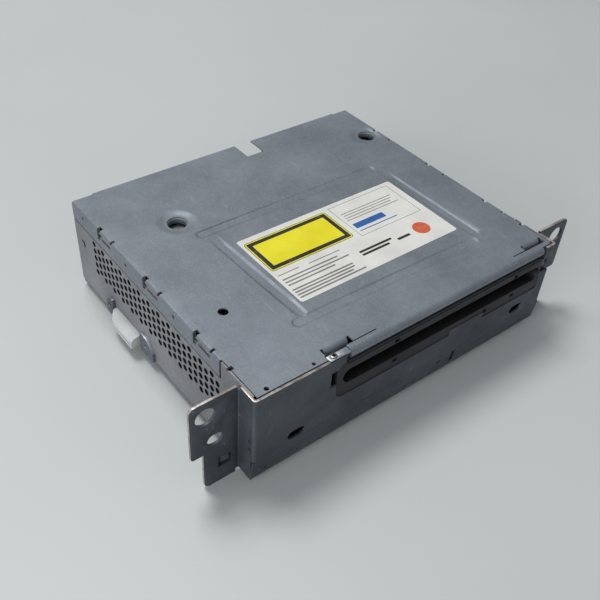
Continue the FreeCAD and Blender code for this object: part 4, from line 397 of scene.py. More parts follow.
def circle(across, up, radius, sides=32):
    return [(across + radius * math.cos(2 * math.pi * side / sides),
             up + radius * math.sin(2 * math.pi * side / sides)) for side in range(sides)]


def arc(across, up, radius, first, last, steps=8):
    return [(across + radius * math.cos(math.radians(first + (last - first) * step / steps)),
             up + radius * math.sin(math.radians(first + (last - first) * step / steps)))
            for step in range(steps + 1)]


def roundedBlock(left, right, low, high, radius, steps=6):
    return (arc(right - radius, high - radius, radius, 0, 90, steps)
            + arc(left + radius, high - radius, radius, 90, 180, steps)
            + arc(left + radius, low + radius, radius, 180, 270, steps)
            + arc(right - radius, low + radius, radius, 270, 360, steps))


def meshObject(name, bm, placed=False):
    if not placed:
        bm.transform(playerPlace)
    bmesh.ops.recalc_face_normals(bm, faces=bm.faces)
    mesh = bpy.data.meshes.new(name)
    bm.to_mesh(mesh)
    bm.free()
    piece = bpy.data.objects.new(name, mesh)
    bpy.context.scene.collection.objects.link(piece)
    return piece


def reopen(piece):
    # a piece's mesh again, in the player's millimetres
    bm = bmesh.new()
    bm.from_mesh(piece.data)
    bm.transform(playerPlace.inverted())
    return bm


def putBack(piece, bm):
    bmesh.ops.recalc_face_normals(bm, faces=bm.faces)
    bm.transform(playerPlace)
    bm.to_mesh(piece.data)
    bm.free()


def bake(piece):
    # modifiers become plain mesh
    graph = bpy.context.evaluated_depsgraph_get()
    mesh = bpy.data.meshes.new_from_object(piece.evaluated_get(graph))
    piece.modifiers.clear()
    piece.data = mesh


def carve(piece, cutter):
    cut = piece.modifiers.new("cut", "BOOLEAN")
    cut.object = cutter
    cut.solver = "EXACT"
    cut.use_self = True
    bake(piece)
    bpy.data.objects.remove(cutter)


def soften(piece, width, segments=2, angle=32):
    # narrow rounding of every sharp edge; width in millimetres
    bevel = piece.modifiers.new("edges", "BEVEL")
    bevel.width = width / 1000
    bevel.segments = segments
    bevel.limit_method = "ANGLE"
    bevel.angle_limit = math.radians(angle)
    bevel.use_clamp_overlap = True
    bake(piece)


def dress(piece, body, finish, *nodes, smooth=32):
    # finish, smoothing and the frame's facts about one piece
    if finish is not None:
        piece.data.materials.clear()
        piece.data.materials.append(finishes[finish])
    piece.data.shade_smooth()
    piece.data.set_sharp_from_angle(angle=math.radians(smooth))
    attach(piece, body)
    if nodes:
        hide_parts(*nodes)


def wear(piece, *names):
    # several finishes on one piece; faces choose theirs by index afterwards
    piece.data.materials.clear()
    for name in names:
        piece.data.materials.append(finishes[name])


def cadCopy(node, name):
    # merged copy of a node's mesh, its flat faces whole again
    bm = bmesh.new()
    bm.from_mesh(frame["nodes"][node].data)
    bmesh.ops.remove_doubles(bm, verts=bm.verts, dist=1e-6)
    bmesh.ops.dissolve_limit(bm, angle_limit=math.radians(0.5), verts=bm.verts, edges=bm.edges,
                             delimit={"NORMAL"})
    return meshObject(name, bm, placed=True)


# Top cover: one pressed sheet

coverPlan = {
    "half": 89.0, "top": 50.8, "sheet": 0.8, "bend": 1.2, "skirt": 41.5,
    "skirtStart": 26.5, "skirtEnd": 159.2, "rear": 160.0, "rearSpan": (-77.6, 78.4),
    "front": 1.9, "lipSpan": (-41.2, 82.0), "lipRound": 2.6, "lipStand": 0.2, "lipCurl": 232,
    "tabSpan": (-52.8, -41.2), "tabBehind": 4.5,
    "beads": (((-50.0, 101.2), (57.0, 101.0)), ((-49.2, 26.5), (56.5, 24.8)),
              ((-47.0, 91.2), (-44.6, 31.2)), ((61.0, 91.5), (62.1, 29.5))),
    "beadHalf": 2.5, "beadDepth": 0.5, "beadWall": 0.6,
    "dimples": ((-54.5, 116.2), (79.8, 130.0)), "dimpleRim": 10.4, "dimpleFloor": 5.4,
    "dimpleDepth": 0.8, "dimpleHole": 5.1,
    "cup": ((5.5, 49.95), (5.15, 49.6), (5.0, 47.5), (4.6, 47.3)), "cupSheet": 0.5,
    "holes": ((-71.7, 49.8, 2.4), (-82.2, 3.6, 1.1), (-58.8, 3.6, 0.9)),
    "notch": ((8.5, 147.2), (19.3, 161.0)),
    "pockets": ((-52.2, -36.8), (72.5, 86.6)), "pocketRun": (4.4, 8.4), "pocketDrop": 3.6,
    "pocketSteep": 0.62,
    "slits": ((-37.0, -24.2, 4.7), (63.7, 73.0, 4.9)), "slitHalf": 0.3,
    "clipEnds": (132.3, 88.7, 46.5), "clipLength": 14.0, "clipWindow": (46.1, 49.3),
    "clipSlit": 2.3, "clipFloor": 44.8, "clipSunk": 0.5, "clipGap": 0.45,
    "clipHole": (15.8, 47.2, 0.95, 14), "clipReach": 1.4, "cornerReach": 2.4,
    "edgeNotch": (19.3, 21.4), "notchReach": 2.6, "tongueSheet": 0.5, "tongueSoften": 0.15,
    "beadColumns": ((-51.5, -42.0), (58.0, 65.0)), "beadRows": ((22.0, 29.5), (97.5, 104.5)),
    "edgeFade": 3.0, "rampBehind": 0.3, "rampInset": 1.4, "coarse": 5.0, "fine": 0.55}


def fineLines(low, high, coarse, fine, spans, exact):
    # grid lines: wide apart in the open, close over each span
    lines = {low, high, *exact}
    steps = round((high - low) / coarse)
    lines.update(low + (high - low) * step / steps for step in range(steps + 1))
    for start, end in spans:
        steps = math.ceil((end - start) / fine)
        lines.update(start + (end - start) * step / steps for step in range(steps + 1))
    kept = []
    for line in sorted(value for value in lines if low <= value <= high):
        if kept and line - kept[-1] < fine / 3 and line not in exact:
            continue
        if kept and line - kept[-1] < fine / 3 and kept[-1] not in exact:
            kept.pop()
        kept.append(line)
    return kept


def smoothStep(value):
    value = min(max(value, 0.0), 1.0)
    return value * value * (3 - 2 * value)


def pressing(plan, x, y):
    # how deep the sheet is pressed at one place
    depth = 0.0
    for (startX, startY), (endX, endY) in plan["beads"]:
        run = Vector((endX - startX, endY - startY))
        here = Vector((x - startX, y - startY))
        along = min(max(here.dot(run) / run.length_squared, 0.0), 1.0)
        away = (here - run * along).length
        depth = max(depth, plan["beadDepth"] * smoothStep(
            (plan["beadHalf"] + plan["beadWall"] / 2 - away) / plan["beadWall"]))
    for centreX, centreY in plan["dimples"]:
        away = math.hypot(x - centreX, y - centreY)
        slope = (plan["dimpleRim"] - away) / (plan["dimpleRim"] - plan["dimpleFloor"])
        fade = smoothStep((plan["half"] - plan["bend"] - x) / plan["edgeFade"])
        depth = max(depth, plan["dimpleDepth"] * smoothStep(slope) * fade)
    return depth


def coverSheet(plan):
    half, top, bend = plan["half"], plan["top"], plan["bend"]
    flat = half - bend
    dimpleX = [(x - plan["dimpleRim"], min(x + plan["dimpleRim"], flat))
               for x, y in plan["dimples"]]
    xLines = fineLines(-flat, flat, plan["coarse"], plan["fine"],
                       [*plan["beadColumns"], *dimpleX],
                       [*plan["rearSpan"], *plan["lipSpan"], plan["tabSpan"][0]])
    # across the sheet: left skirt, left bend, top, right bend, right skirt
    across = [(-half, plan["skirt"]), (-half, (plan["skirt"] + top) / 2)]
    across += arc(-flat, top - bend, bend, 180, 90, 6)[:-1]
    across += [(x, top) for x in xLines]
    across += arc(flat, top - bend, bend, 90, 0, 6)[1:]
    across += [(half, (plan["skirt"] + top) / 2), (half, plan["skirt"])]
    # along the sheet: the rolled lip, then the top from front to rear
    lip = arc(plan["lipStand"] + plan["lipRound"], top - plan["lipRound"], plan["lipRound"],
              plan["lipCurl"], 90, 14)
    rolled = len(lip) - 1
    dimpleY = [(y - plan["dimpleRim"], y + plan["dimpleRim"]) for x, y in plan["dimples"]]
    yLines = fineLines(lip[-1][0], plan["rear"], plan["coarse"], plan["fine"],
                       [*plan["beadRows"], *dimpleY],
                       [plan["tabBehind"], plan["skirtStart"], plan["skirtEnd"]])
    along = lip[:-1] + [(y, top) for y in yLines]
    bm = bmesh.new()
    corners = {}

    def corner(column, row, onLip):
        key = (column, row, onLip and row < rolled)
        if key not in corners:
            x, height = across[column]
            y, drop = along[row]
            if row < rolled and not onLip:
                share = row / rolled
                y = plan["front"] + (lip[-1][0] - plan["front"]) * share
                drop = top
            onTop = abs(x) <= flat and height >= top - 1e-6
            sunk = pressing(plan, x, y) if onTop else 0.0
            corners[key] = bm.verts.new((x, y, height + drop - top - sunk))
        return corners[key]

    for column in range(len(across) - 1):
        x = (across[column][0] + across[column + 1][0]) / 2
        onTop = across[column][1] >= top - 1e-6 and across[column + 1][1] >= top - 1e-6
        onLip = onTop and plan["lipSpan"][0] < x < plan["lipSpan"][1]
        onTab = plan["tabSpan"][0] < x < plan["tabSpan"][1]
        for row in range(len(along) - 1):
            y = (along[row][0] + along[row + 1][0]) / 2
            if not onTop and not plan["skirtStart"] < y < plan["skirtEnd"]:
                continue
            if onTab and y < plan["tabBehind"]:
                continue
            if y > plan["skirtEnd"] and not plan["rearSpan"][0] < x < plan["rearSpan"][1]:
                continue
            bm.faces.new((corner(column, row, onLip), corner(column + 1, row, onLip),
                          corner(column + 1, row + 1, onLip), corner(column, row + 1, onLip)))
    piece = meshObject("coverSheet", bm)
    thick = piece.modifiers.new("sheet", "SOLIDIFY")
    thick.thickness = plan["sheet"] / 1000
    thick.offset = -1
    bake(piece)
    carve(piece, coverOpenings(plan))
    addRamps(piece, plan)
    dress(piece, "housing", "coverZinc", "top_cover", smooth=40)


def clipHole(plan, end):
    # round hole that follows each clip, through skirt and wall alike
    behind, height, radius, sides = plan["clipHole"]
    return circle(end + behind, height, radius, sides)


def coverOpenings(plan):
    bm = bmesh.new()
    top, half = plan["top"], plan["half"]
    for x, y in plan["dimples"]:
        addPrism(bm, "Z", circle(x, y, plan["dimpleHole"]), top - 6, top + 1)
    for x, y, radius in plan["holes"]:
        addPrism(bm, "Z", circle(x, y, radius, 20), top - 2, top + 1)
    low, high = plan["notch"]
    addBlock(bm, (*low, top - 2), (*high, top + 1))
    for left, right in plan["pockets"]:
        addBlock(bm, (left, plan["pocketRun"][0], top - 2), (right, plan["pocketRun"][1], top + 1))
    for left, right, y in plan["slits"]:
        addBlock(bm, (left, y - plan["slitHalf"], top - 3), (right, y + plan["slitHalf"], top + 1))
    # spring clips in both skirts: slit behind, window along, nick in front
    low, high = plan["clipWindow"]
    for side in (-1, 1):
        outer, inner = side * (half + 1), side * (half - plan["clipReach"])
        corner = side * (half - plan["cornerReach"])
        for end in plan["clipEnds"]:
            start = end - plan["clipLength"]
            for first, last, reach, bottom, crest in (
                    (end - plan["clipSlit"], end, inner, plan["clipFloor"], top - 1.0),
                    (end - plan["clipSlit"] - 0.3, end + 0.2, corner, top - 1.3, top + 1),
                    (start + 1, end - plan["clipSlit"] / 2, inner, low, high),
                    (start - 0.3, start + 1.2, corner, top - 1.6, top + 1)):
                addBlock(bm, (min(outer, reach), first, bottom), (max(outer, reach), last, crest))
            addPrism(bm, "X", clipHole(plan, end), min(outer, inner), max(outer, inner))
        first, last = plan["edgeNotch"]
        reach = side * (half - plan["notchReach"])
        addBlock(bm, (min(outer, reach), first, top - 2), (max(outer, reach), last, top + 1))
    return meshObject("coverCutter", bm)


def addRamps(piece, plan):
    # pressed ramps that slope down to the front inside the two pockets
    top, sheet = plan["top"], plan["sheet"]
    start, end = plan["pocketRun"]
    steep = (end - start) * plan["pocketSteep"]
    upper = [(end + plan["rampBehind"] - steep * math.sin(math.radians(turn)),
              top - plan["pocketDrop"] * (1 - math.cos(math.radians(turn))))
             for turn in range(0, 91, 10)]
    lower = [(y + 0.1, z - sheet) for y, z in reversed(upper)]
    bm = reopen(piece)
    for left, right in plan["pockets"]:
        addPrism(bm, "X", upper + lower, left + plan["rampInset"], right - plan["rampInset"])
    # drawn cups under the two dimples
    for x, y in plan["dimples"]:
        addLathe(bm, x, y, plan["cup"], plan["cupSheet"])
    putBack(piece, bm)


def clipTongues(plan):
    # worn spring tongues that stand back in the clips' windows
    low, high = plan["clipWindow"]
    gap = plan["clipGap"]
    bm = bmesh.new()
    for side in (-1, 1):
        near, far = sorted((side * (plan["half"] - plan["clipSunk"]),
                            side * (plan["half"] - plan["clipSunk"] - plan["tongueSheet"])))
        for end in plan["clipEnds"]:
            addBlock(bm, (near, end - plan["clipLength"] + 1, low + gap),
                     (far, end - plan["clipSlit"] - gap, high - gap))
    piece = meshObject("clipTongues", bm)
    soften(piece, plan["tongueSoften"])
    dress(piece, "housing", "wornZinc")


coverSheet(coverPlan)
clipTongues(coverPlan)
print("cover made")


# Side walls: folded sheet, the left one with its field of vents

wallPlan = {
    "half": 89.0, "sheet": 0.8, "foot": 82.6, "footLow": 0.8, "bend": 1.8, "top": 50.8,
    "front": 3.0, "footStart": 9.8, "joggleStart": 26.5, "end": 159.2,
    "step": (40.75, 40.9), "tuckTop": 49.8,
    "lugs": ((82.5, 94.3, 8.6, -1), (121.6, 128.6, 6.0, 1)), "lugLow": 2.4, "lugTop": 13.5,
    "lugProud": 1.7, "lugHole": 1.15, "lugHoleHeight": 8.4,
    "clipCut": (45.8, 50.0), "clipSpan": (-14.3, 0.2), "frontSlit": (25.2, 26.45, 41.0),
    "button": (151.8, 29.4, 2.0, 0.45), "holeBand": (6.0, 40.0), "cutDepth": 3.4,
    "notchDrop": 1.2, "lugSoften": 0.35}

ventPlan = {"Start": (-89.8, 138.0, 37.9), "Columns": 13, "LongRows": 5, "ShortRows": 4,
            "Pitch": 4.4, "Rise": 4.37, "Radius": 1.6, "Depth": 4.0}


def wallSections(plan, side):
    half, sheet = plan["half"], plan["sheet"]
    inner = half - sheet
    low, up = plan["footLow"], plan["footLow"] + sheet
    outerBend = arc(half - plan["bend"], low + plan["bend"], plan["bend"], 270, 360, 6)
    innerBend = arc(half - plan["bend"], low + plan["bend"], plan["bend"] - sheet, 360, 270, 6)
    plain = ([(plan["foot"], low)] + outerBend + [(half, plan["top"]), (inner, plan["top"])]
             + innerBend + [(plan["foot"], up)])
    tucked = inner - 0.1
    stepLow, stepHigh = plan["step"]
    stepped = ([(plan["foot"], low)] + outerBend
               + [(half, stepLow), (tucked, stepHigh), (tucked, plan["tuckTop"]),
                  (tucked - sheet, plan["tuckTop"]), (tucked - sheet, stepHigh - 0.3),
                  (inner, stepLow - 0.3)]
               + innerBend + [(plan["foot"], up)])
    upright = [(inner, plan["bend"]), (half, plan["bend"]), (half, plan["top"]),
               (inner, plan["top"])]
    runs = ((upright, plan["front"], plan["footStart"]),
            (plain, plan["footStart"], plan["joggleStart"]),
            (stepped, plan["joggleStart"], plan["end"]))
    return [([(side * x, z) for x, z in outline], start, end) for outline, start, end in runs]


def openTree(name, **sockets):
    # node group that takes a geometry, named values and a finish
    tree = bpy.data.node_groups.new(name, "GeometryNodeTree")
    given = [("Geometry", "Geometry")]
    given += [(label, kind) for kind, labels in sockets.items() for label in labels]
    for label, kind in given + [("Finish", "Material")]:
        tree.interface.new_socket(label, in_out="INPUT", socket_type="NodeSocket" + kind)
    tree.interface.new_socket("Geometry", in_out="OUTPUT", socket_type="NodeSocketGeometry")
    nodes = Nodes(tree)
    return nodes, nodes.add("NodeGroupInput").outputs


def closeTree(nodes, given, geometry):
    # plain geometry in the given finish
    whole = nodes.add("GeometryNodeRealizeInstances", {"Geometry": geometry}).outputs[0]
    coated = nodes.add("GeometryNodeSetMaterial", {
        "Geometry": whole, "Material": given["Finish"]}).outputs[0]
    nodes.feed(nodes.add("NodeGroupOutput").inputs[0], coated)
    return nodes.tree


def ventTree():
    # punches a staggered field of round holes through what it is given
    nodes, given = openTree("ventField", Vector=("Start",),
                            Int=("Columns", "LongRows", "ShortRows"),
                            Float=("Pitch", "Rise", "Radius", "Depth"))

    def times(value, factor):
        return nodes.math("MULTIPLY", value, factor)

    def vector(y, z):
        return nodes.add("ShaderNodeCombineXYZ", {"Y": y, "Z": z}).outputs[0]

    fields = []
    for rows, along, down in (("LongRows", 0.0, 0.0), ("ShortRows", -1.0, -0.5)):
        shift = vector(times(given["Pitch"], along), times(given["Rise"], down))
        first = nodes.add("ShaderNodeVectorMath", {0: given["Start"], 1: shift}, operation="ADD")
        columns = nodes.add("GeometryNodeMeshLine", {
            "Count": given["Columns"], "Start Location": first.outputs[0],
            "Offset": vector(times(given["Pitch"], -2.0), 0.0)})
        rowLine = nodes.add("GeometryNodeMeshLine", {
            "Count": given[rows], "Offset": vector(0.0, times(given["Rise"], -1.0))})
        spread = nodes.add("GeometryNodeInstanceOnPoints", {
            "Points": columns.outputs[0], "Instance": rowLine.outputs[0]})
        fields.append(nodes.add("GeometryNodeRealizeInstances", {
            "Geometry": spread.outputs[0]}).outputs[0])
    points = nodes.add("GeometryNodeJoinGeometry")
    for field in reversed(fields):
        nodes.feed(points.inputs[0], field)
    punch = nodes.add("GeometryNodeMeshCylinder", {
        "Vertices": 18, "Radius": given["Radius"], "Depth": given["Depth"]})
    punches = nodes.add("GeometryNodeInstanceOnPoints", {
        "Points": points.outputs[0], "Instance": punch.outputs[0],
        "Rotation": (0.0, math.pi / 2, 0.0)})
    solid = nodes.add("GeometryNodeRealizeInstances", {"Geometry": punches.outputs[0]})
    holes = nodes.add("GeometryNodeMeshBoolean", operation="DIFFERENCE", solver="EXACT")
    nodes.feed(holes.inputs[0], given["Geometry"])
    nodes.feed(holes.inputs[1], solid.outputs[0])
    return closeTree(nodes, given, holes.outputs[0])


def grow(piece, tree, values):
    # runs one node tree on a piece and keeps the plain mesh
    modifier = piece.modifiers.new("grow", "NODES")
    modifier.node_group = tree
    for item in tree.interface.items_tree:
        if item.in_out == "INPUT" and item.name in values:
            modifier[item.identifier] = values[item.name]
    bake(piece)


def sideWall(plan, side, name):
    bm = bmesh.new()
    sections = wallSections(plan, side)
    addPrism(bm, "Y", *sections[-1])
    piece = meshObject(name, bm)
    if side < 0:
        scaled = {key: value / 1000 for key, value in ventPlan.items()
                  if key in ("Pitch", "Rise", "Radius", "Depth")}
        grow(piece, ventTree(), {**ventPlan, **scaled,
                                 "Start": tuple(playerPlace @ Vector(ventPlan["Start"])),
                                 "Finish": finishes["wallZinc"]})
    bm = reopen(piece)
    for section in sections[:-1]:
        addPrism(bm, "Y", *section)
    if side < 0:
        y, z, radius, proud = plan["button"]
        addPrism(bm, "X", circle(y, z, radius, 24), -plan["half"] - proud, -plan["half"])
    putBack(piece, bm)
    carve(piece, wallOpenings(plan, side))
    wear(piece, "wallZinc", "wornZinc", "mouthShade")
    low, high = plan["holeBand"]
    for face in piece.data.polygons:
        up = face.center.z * 1000 - playerPlace.translation.z * 1000
        if up > plan["top"] - 0.1 and face.normal.z > 0.9:
            face.material_index = 1
        elif side < 0 and abs(face.normal.x) < 0.3 and low < up < high:
            face.material_index = 2
        else:
            face.material_index = 0
    dress(piece, "housing", None, "left_wall" if side < 0 else "right_wall")


def lugHole(plan, start, end):
    return circle((start + end) / 2, plan["lugHoleHeight"], plan["lugHole"], 16)


def wallOpenings(plan, side):
    # room behind the skirt's clips, the slit before the skirt and the lugs' holes
    bm = bmesh.new()
    near, far = sorted((side * (plan["half"] + 1), side * (plan["half"] - plan["cutDepth"])))
    low, high = plan["clipCut"]
    for end in coverPlan["clipEnds"]:
        first, last = plan["clipSpan"]
        addBlock(bm, (near, end + first, low), (far, end + last, high))
        addPrism(bm, "X", clipHole(coverPlan, end), near, far)
    first, last, bottom = plan["frontSlit"]
    addBlock(bm, (near, first, bottom), (far, last, plan["top"] + 1))
    first, last = coverPlan["edgeNotch"]
    addBlock(bm, (near, first, plan["top"] - plan["notchDrop"]), (far, last, plan["top"] + 1))
    if side < 0:
        for start, end, radius, way in plan["lugs"]:
            addPrism(bm, "X", lugHole(plan, start, end), near, far)
    return meshObject("wallCutter", bm)


def wallLugs(plan):
    # two pressed lugs beside the bumper, each with a round shoulder, rim and hole; the lugs are
    # painted darker as shade and their upward faces lighter as a painted highlight
    face, back = -plan["half"] - plan["lugProud"], -plan["half"] + plan["sheet"] / 4
    bm = bmesh.new()
    holes = bmesh.new()
    for start, end, radius, way in plan["lugs"]:
        low, high = plan["lugLow"], plan["lugTop"]
        if way < 0:
            outline = ([(start, low), (end, low), (end, high)]
                       + arc(start + radius, high - radius, radius, 90, 180, 10))
        else:
            outline = ([(start, low), (end, low)]
                       + arc(end - radius, high - radius, radius, 0, 90, 10) + [(start, high)])
        addPrism(bm, "X", outline, face, back)
        addPrism(holes, "X", lugHole(plan, start, end), face - 1, back + 1)
    piece = meshObject("wallLugs", bm)
    carve(piece, meshObject("lugHoles", holes))
    wear(piece, "lugZinc", "tabZinc")
    # painted highlight: faces turned upwards take the bright zinc, the rest the painted-shade lug
    # tone
    for face in piece.data.polygons:
        face.material_index = 1 if face.normal.z > 0.25 else 0
    soften(piece, plan["lugSoften"], 3)
    dress(piece, "housing", None)


sideWall(wallPlan, -1, "ventedWall")
sideWall(wallPlan, 1, "plainWall")
wallLugs(wallPlan)
print("walls made")


# Front plate: softened copy with bare cut edges, ear flaps and punch marks

platePlan = {
    "soften": 0.22, "earReach": 91.6, "edgeAbove": 50.0,
    "earHoles": ((105.8, 42.6, 5.6), (101.5, 26.6, 5.0), (97.0, 10.2, 5.0)),
    "pits": ((-83.0, 4.6, 0.8, 0.5), (-65.9, 4.8, 0.7, 0.5), (-59.6, 4.6, 0.5, 0.5),
             (-22.5, 4.8, 0.8, 0.5), (0.3, 4.7, 4.6, 0.45), (18.6, 9.5, 1.6, 0.7),
             (39.1, 3.9, 0.7, 0.5), (79.6, 4.2, 0.9, 0.6)), "pitDepth": 0.5,
    "lean": (1.6, 13.0),
    "bezelRoom": (-48.2, -30.0, 25.7, 45.9, 4.4),
    "pocket": (3.7, 6.7, 13.7, 12.1, 12.7), "flap": (2.0, 9.6, 12.6, 11.1, 12.2),
    "windowReach": 97.0, "dash": ((-90.3, 5.4, 38.2), (-90.0, 7.4, 39.3))}


def frontPlate(plan):
    piece = cadCopy("front_plate", "frontSheet")
    piece.data.transform(playerPlace.inverted())
    wear(piece, "plateSteel", "plateCut", "lugZinc")
    for face in piece.data.polygons:
        edgeUp = abs(face.normal.z) > 0.9
        onEar = (abs(face.center.x) > plan["earReach"] and abs(face.normal.y) < 0.5
                 and all(math.hypot(abs(face.center.x) - x, face.center.z - z) > reach
                         for x, z, reach in plan["earHoles"]))
        onTop = edgeUp and face.center.z > plan["edgeAbove"]
        face.material_index = 1 if onTop or onEar else 0
    piece.data.transform(playerPlace)
    bm = bmesh.new()
    for x, z, halfLong, halfHigh in plan["pits"]:
        # low down the plate leans back, and a pit starts further in
        lean = plan["lean"][0] * max(0.0, 1 - z / plan["lean"][1])
        addBlock(bm, (x - halfLong, -1, z - halfHigh),
                 (x + halfLong, lean + plan["pitDepth"], z + halfHigh))
    carve(piece, meshObject("pitCutter", bm))
    bm = bmesh.new()
    addPrism(bm, "Y", roundedBlock(*plan["bezelRoom"]), -1, 3)
    carve(piece, meshObject("roomCutter", bm))
    soften(piece, plan["soften"])
    bm = reopen(piece)
    for side in (-1, 1):
        middle = side * plan["windowReach"]
        # the flap takes the lighter lug zinc as painted light on its raised face
        for finish, (half, low, high, near, far) in ((0, plan["pocket"]), (2, plan["flap"])):
            outline = roundedBlock(middle - half, middle + half, low, high, 0.6, 3)
            for face in addPrism(bm, "Y", outline, near, far):
                face.material_index = finish
    addBlock(bm, *plan["dash"])
    putBack(piece, bm)
    dress(piece, "housing", None, "front_plate")


frontPlate(platePlan)


# Slot bezel: moulded frame flush in the plate's window, with a deep mouth behind it

bezelPlan = {"outline": (-48.0, 83.1, 25.9, 45.5, 4.2), "face": 0.25, "back": 2.4,
             "flange": (-47.4, 82.8, 24.4, 46.0, 2.0), "flangeBack": 3.9,
             "mouth": (-44.6, 81.9, 32.3, 40.4), "wall": 1.1, "tube": 7.9,
             "tongue": (20.9, 43.8, 20.0, 29.3, 1.6), "hole": (1.5, 0.95, 1.5),
             "soften": 0.35, "lap": 0.3, "steps": 10,
             "holes": ((-14.3, 41.9), (63.8, 41.8), (-13.8, 29.8), (44.9, 29.2), (64.2, 29.8)),
             "groove": (-43.0, 81.0, 44.0, 44.7, 0.6)}


def slotBezel(plan):
    left, right, low, high = plan["mouth"]
    around = (high - low) / 2
    wall = plan["wall"]
    bm = bmesh.new()
    addPrism(bm, "Y", roundedBlock(*plan["outline"]), plan["face"], plan["back"])
    piece = meshObject("bezel", bm)
    for outline, near, far in (
            (roundedBlock(*plan["flange"]), plan["back"] - plan["lap"], plan["flangeBack"]),
            (roundedBlock(left - wall, right + wall, low - wall, high + wall, around + wall,
                          plan["steps"]), plan["flangeBack"] - plan["lap"], plan["tube"])):
        bm = bmesh.new()
        addPrism(bm, "Y", outline, near, far)
        joined = piece.modifiers.new("join", "BOOLEAN")
        joined.operation = "UNION"
        joined.solver = "EXACT"
        joined.object = meshObject("bezelPart", bm)
        bake(piece)
    bm = bmesh.new()
    addPrism(bm, "Y", roundedBlock(left, right, low, high, around - 0.01, plan["steps"]),
             -1, plan["tube"] + 1)
    halfAcross, halfUp, depth = plan["hole"]
    for x, z in plan["holes"]:
        addBlock(bm, (x - halfAcross, -1, z - halfUp),
                 (x + halfAcross, plan["face"] + depth, z + halfUp))
    first, last, bottom, crest, depth = plan["tongue"]
    addBlock(bm, (first, -1, bottom), (last, depth, crest))
    first, last, bottom, crest, depth = plan["groove"]
    addBlock(bm, (first, -1, bottom), (last, plan["face"] + depth, crest))
    carve(piece, meshObject("bezelCutter", bm))
    for part in [item for item in bpy.data.objects if item.name.startswith("bezelPart")]:
        bpy.data.objects.remove(part)
    wear(piece, "bezelPlastic", "mouthShade")
    floor = playerPlace.translation.z
    for face in piece.data.polygons:
        across, up = face.center.x * 1000, (face.center.z - floor) * 1000
        inside = left - 0.1 < across < right + 0.1 and low - 0.1 < up < high + 0.1
        face.material_index = 1 if inside and abs(face.normal.y) < 0.5 else 0
    soften(piece, plan["soften"])
    dress(piece, "housing", None, "slot_bezel")


slotBezel(bezelPlan)


# Tab, rear panel, bottom and connectors keep their form with softened edges

softened = {
    "front_tab": ("zincTab", "tabZinc", 0.12),
    "rear_panel": ("rearSheet", "wallZinc", 0.1),
    "bottom_plate": ("bottomSheet", "wallZinc", 0.12),
    "main_connector": ("mainSocket", "bezelPlastic", 0.3),
    "antenna_sockets": ("antennaSocket", "palePlastic", 0.3),
    "mode_slider": ("slider", "frameZinc", 0.1),
    "clamp_arm": ("clampArm", "frameZinc", 0.12),
    "loading_motor": ("loadingMotor", "motorSteel", 0.4),
    "spindle_motor": ("spindleMotor", "motorSteel", 0.4),
    "turntable": ("spindleTable", "bezelPlastic", 0.2),
    "clamper": ("discClamper", "palePlastic", 0.3),
    "board_capacitors": ("capacitors", "sleeveBlack", 0.6),
    "tuner_module": ("tunerCan", "tabZinc", 0.3),
}
rearNotch = ((8.2, 157.0, 40.2), (26.5, 161.0, 51.0))   # under the cover's notch
for node, (name, finish, width) in softened.items():
    piece = cadCopy(node, name)
    if node == "rear_panel":
        bm = bmesh.new()
        addBlock(bm, *rearNotch)
        carve(piece, meshObject("rearCutter", bm))
    soften(piece, width)
    dress(piece, frame["nodes"][node]["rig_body"], finish, node)
print("plate, bezel and edges made")


# Deck springs and dampers stand on the housing and give way under the deck

# Deck springs and dampers between housing and deck: merged copies with their finishes, fixed in
# place and tied to no body
supports = {"deck_springs": ("deckSprings", "springSteel"),
            "deck_dampers": ("deckDampers", "damperRubber")}
for node, (name, finish) in supports.items():
    piece = cadCopy(node, name)
    wear(piece, finish)
    for face in piece.data.polygons:
        face.use_smooth = True
    piece.data.set_sharp_from_angle(angle=math.radians(35))
    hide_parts(node)
    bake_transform(piece)
print("deck supports made")


# White bumper: crowned hood over a core, clipped to the left wall

bumperPlan = {"start": 95.5, "end": 120.5, "wallSide": -89.0, "steps": 20, "soften": 0.3,
              "hood": ((0.0, 9.9), (0.4, 9.9), (0.74, 9.3), (0.93, 8.1), (1.0, 6.2)),
              "reach": 6.2, "thick": 1.1, "turnIn": 0.62, "crown": (0.03, 0.4, 0.16),
              "taper": (0.5, 2.2), "sink": 0.5, "foot": 3.5,
              "core": ((-94.2, 96.0, 3.6), (-89.0, 116.6, 8.7)), "endCap": 1.4,
              "rib": ((-95.0, 95.6, 3.5), (-94.1, 112.0, 5.0))}


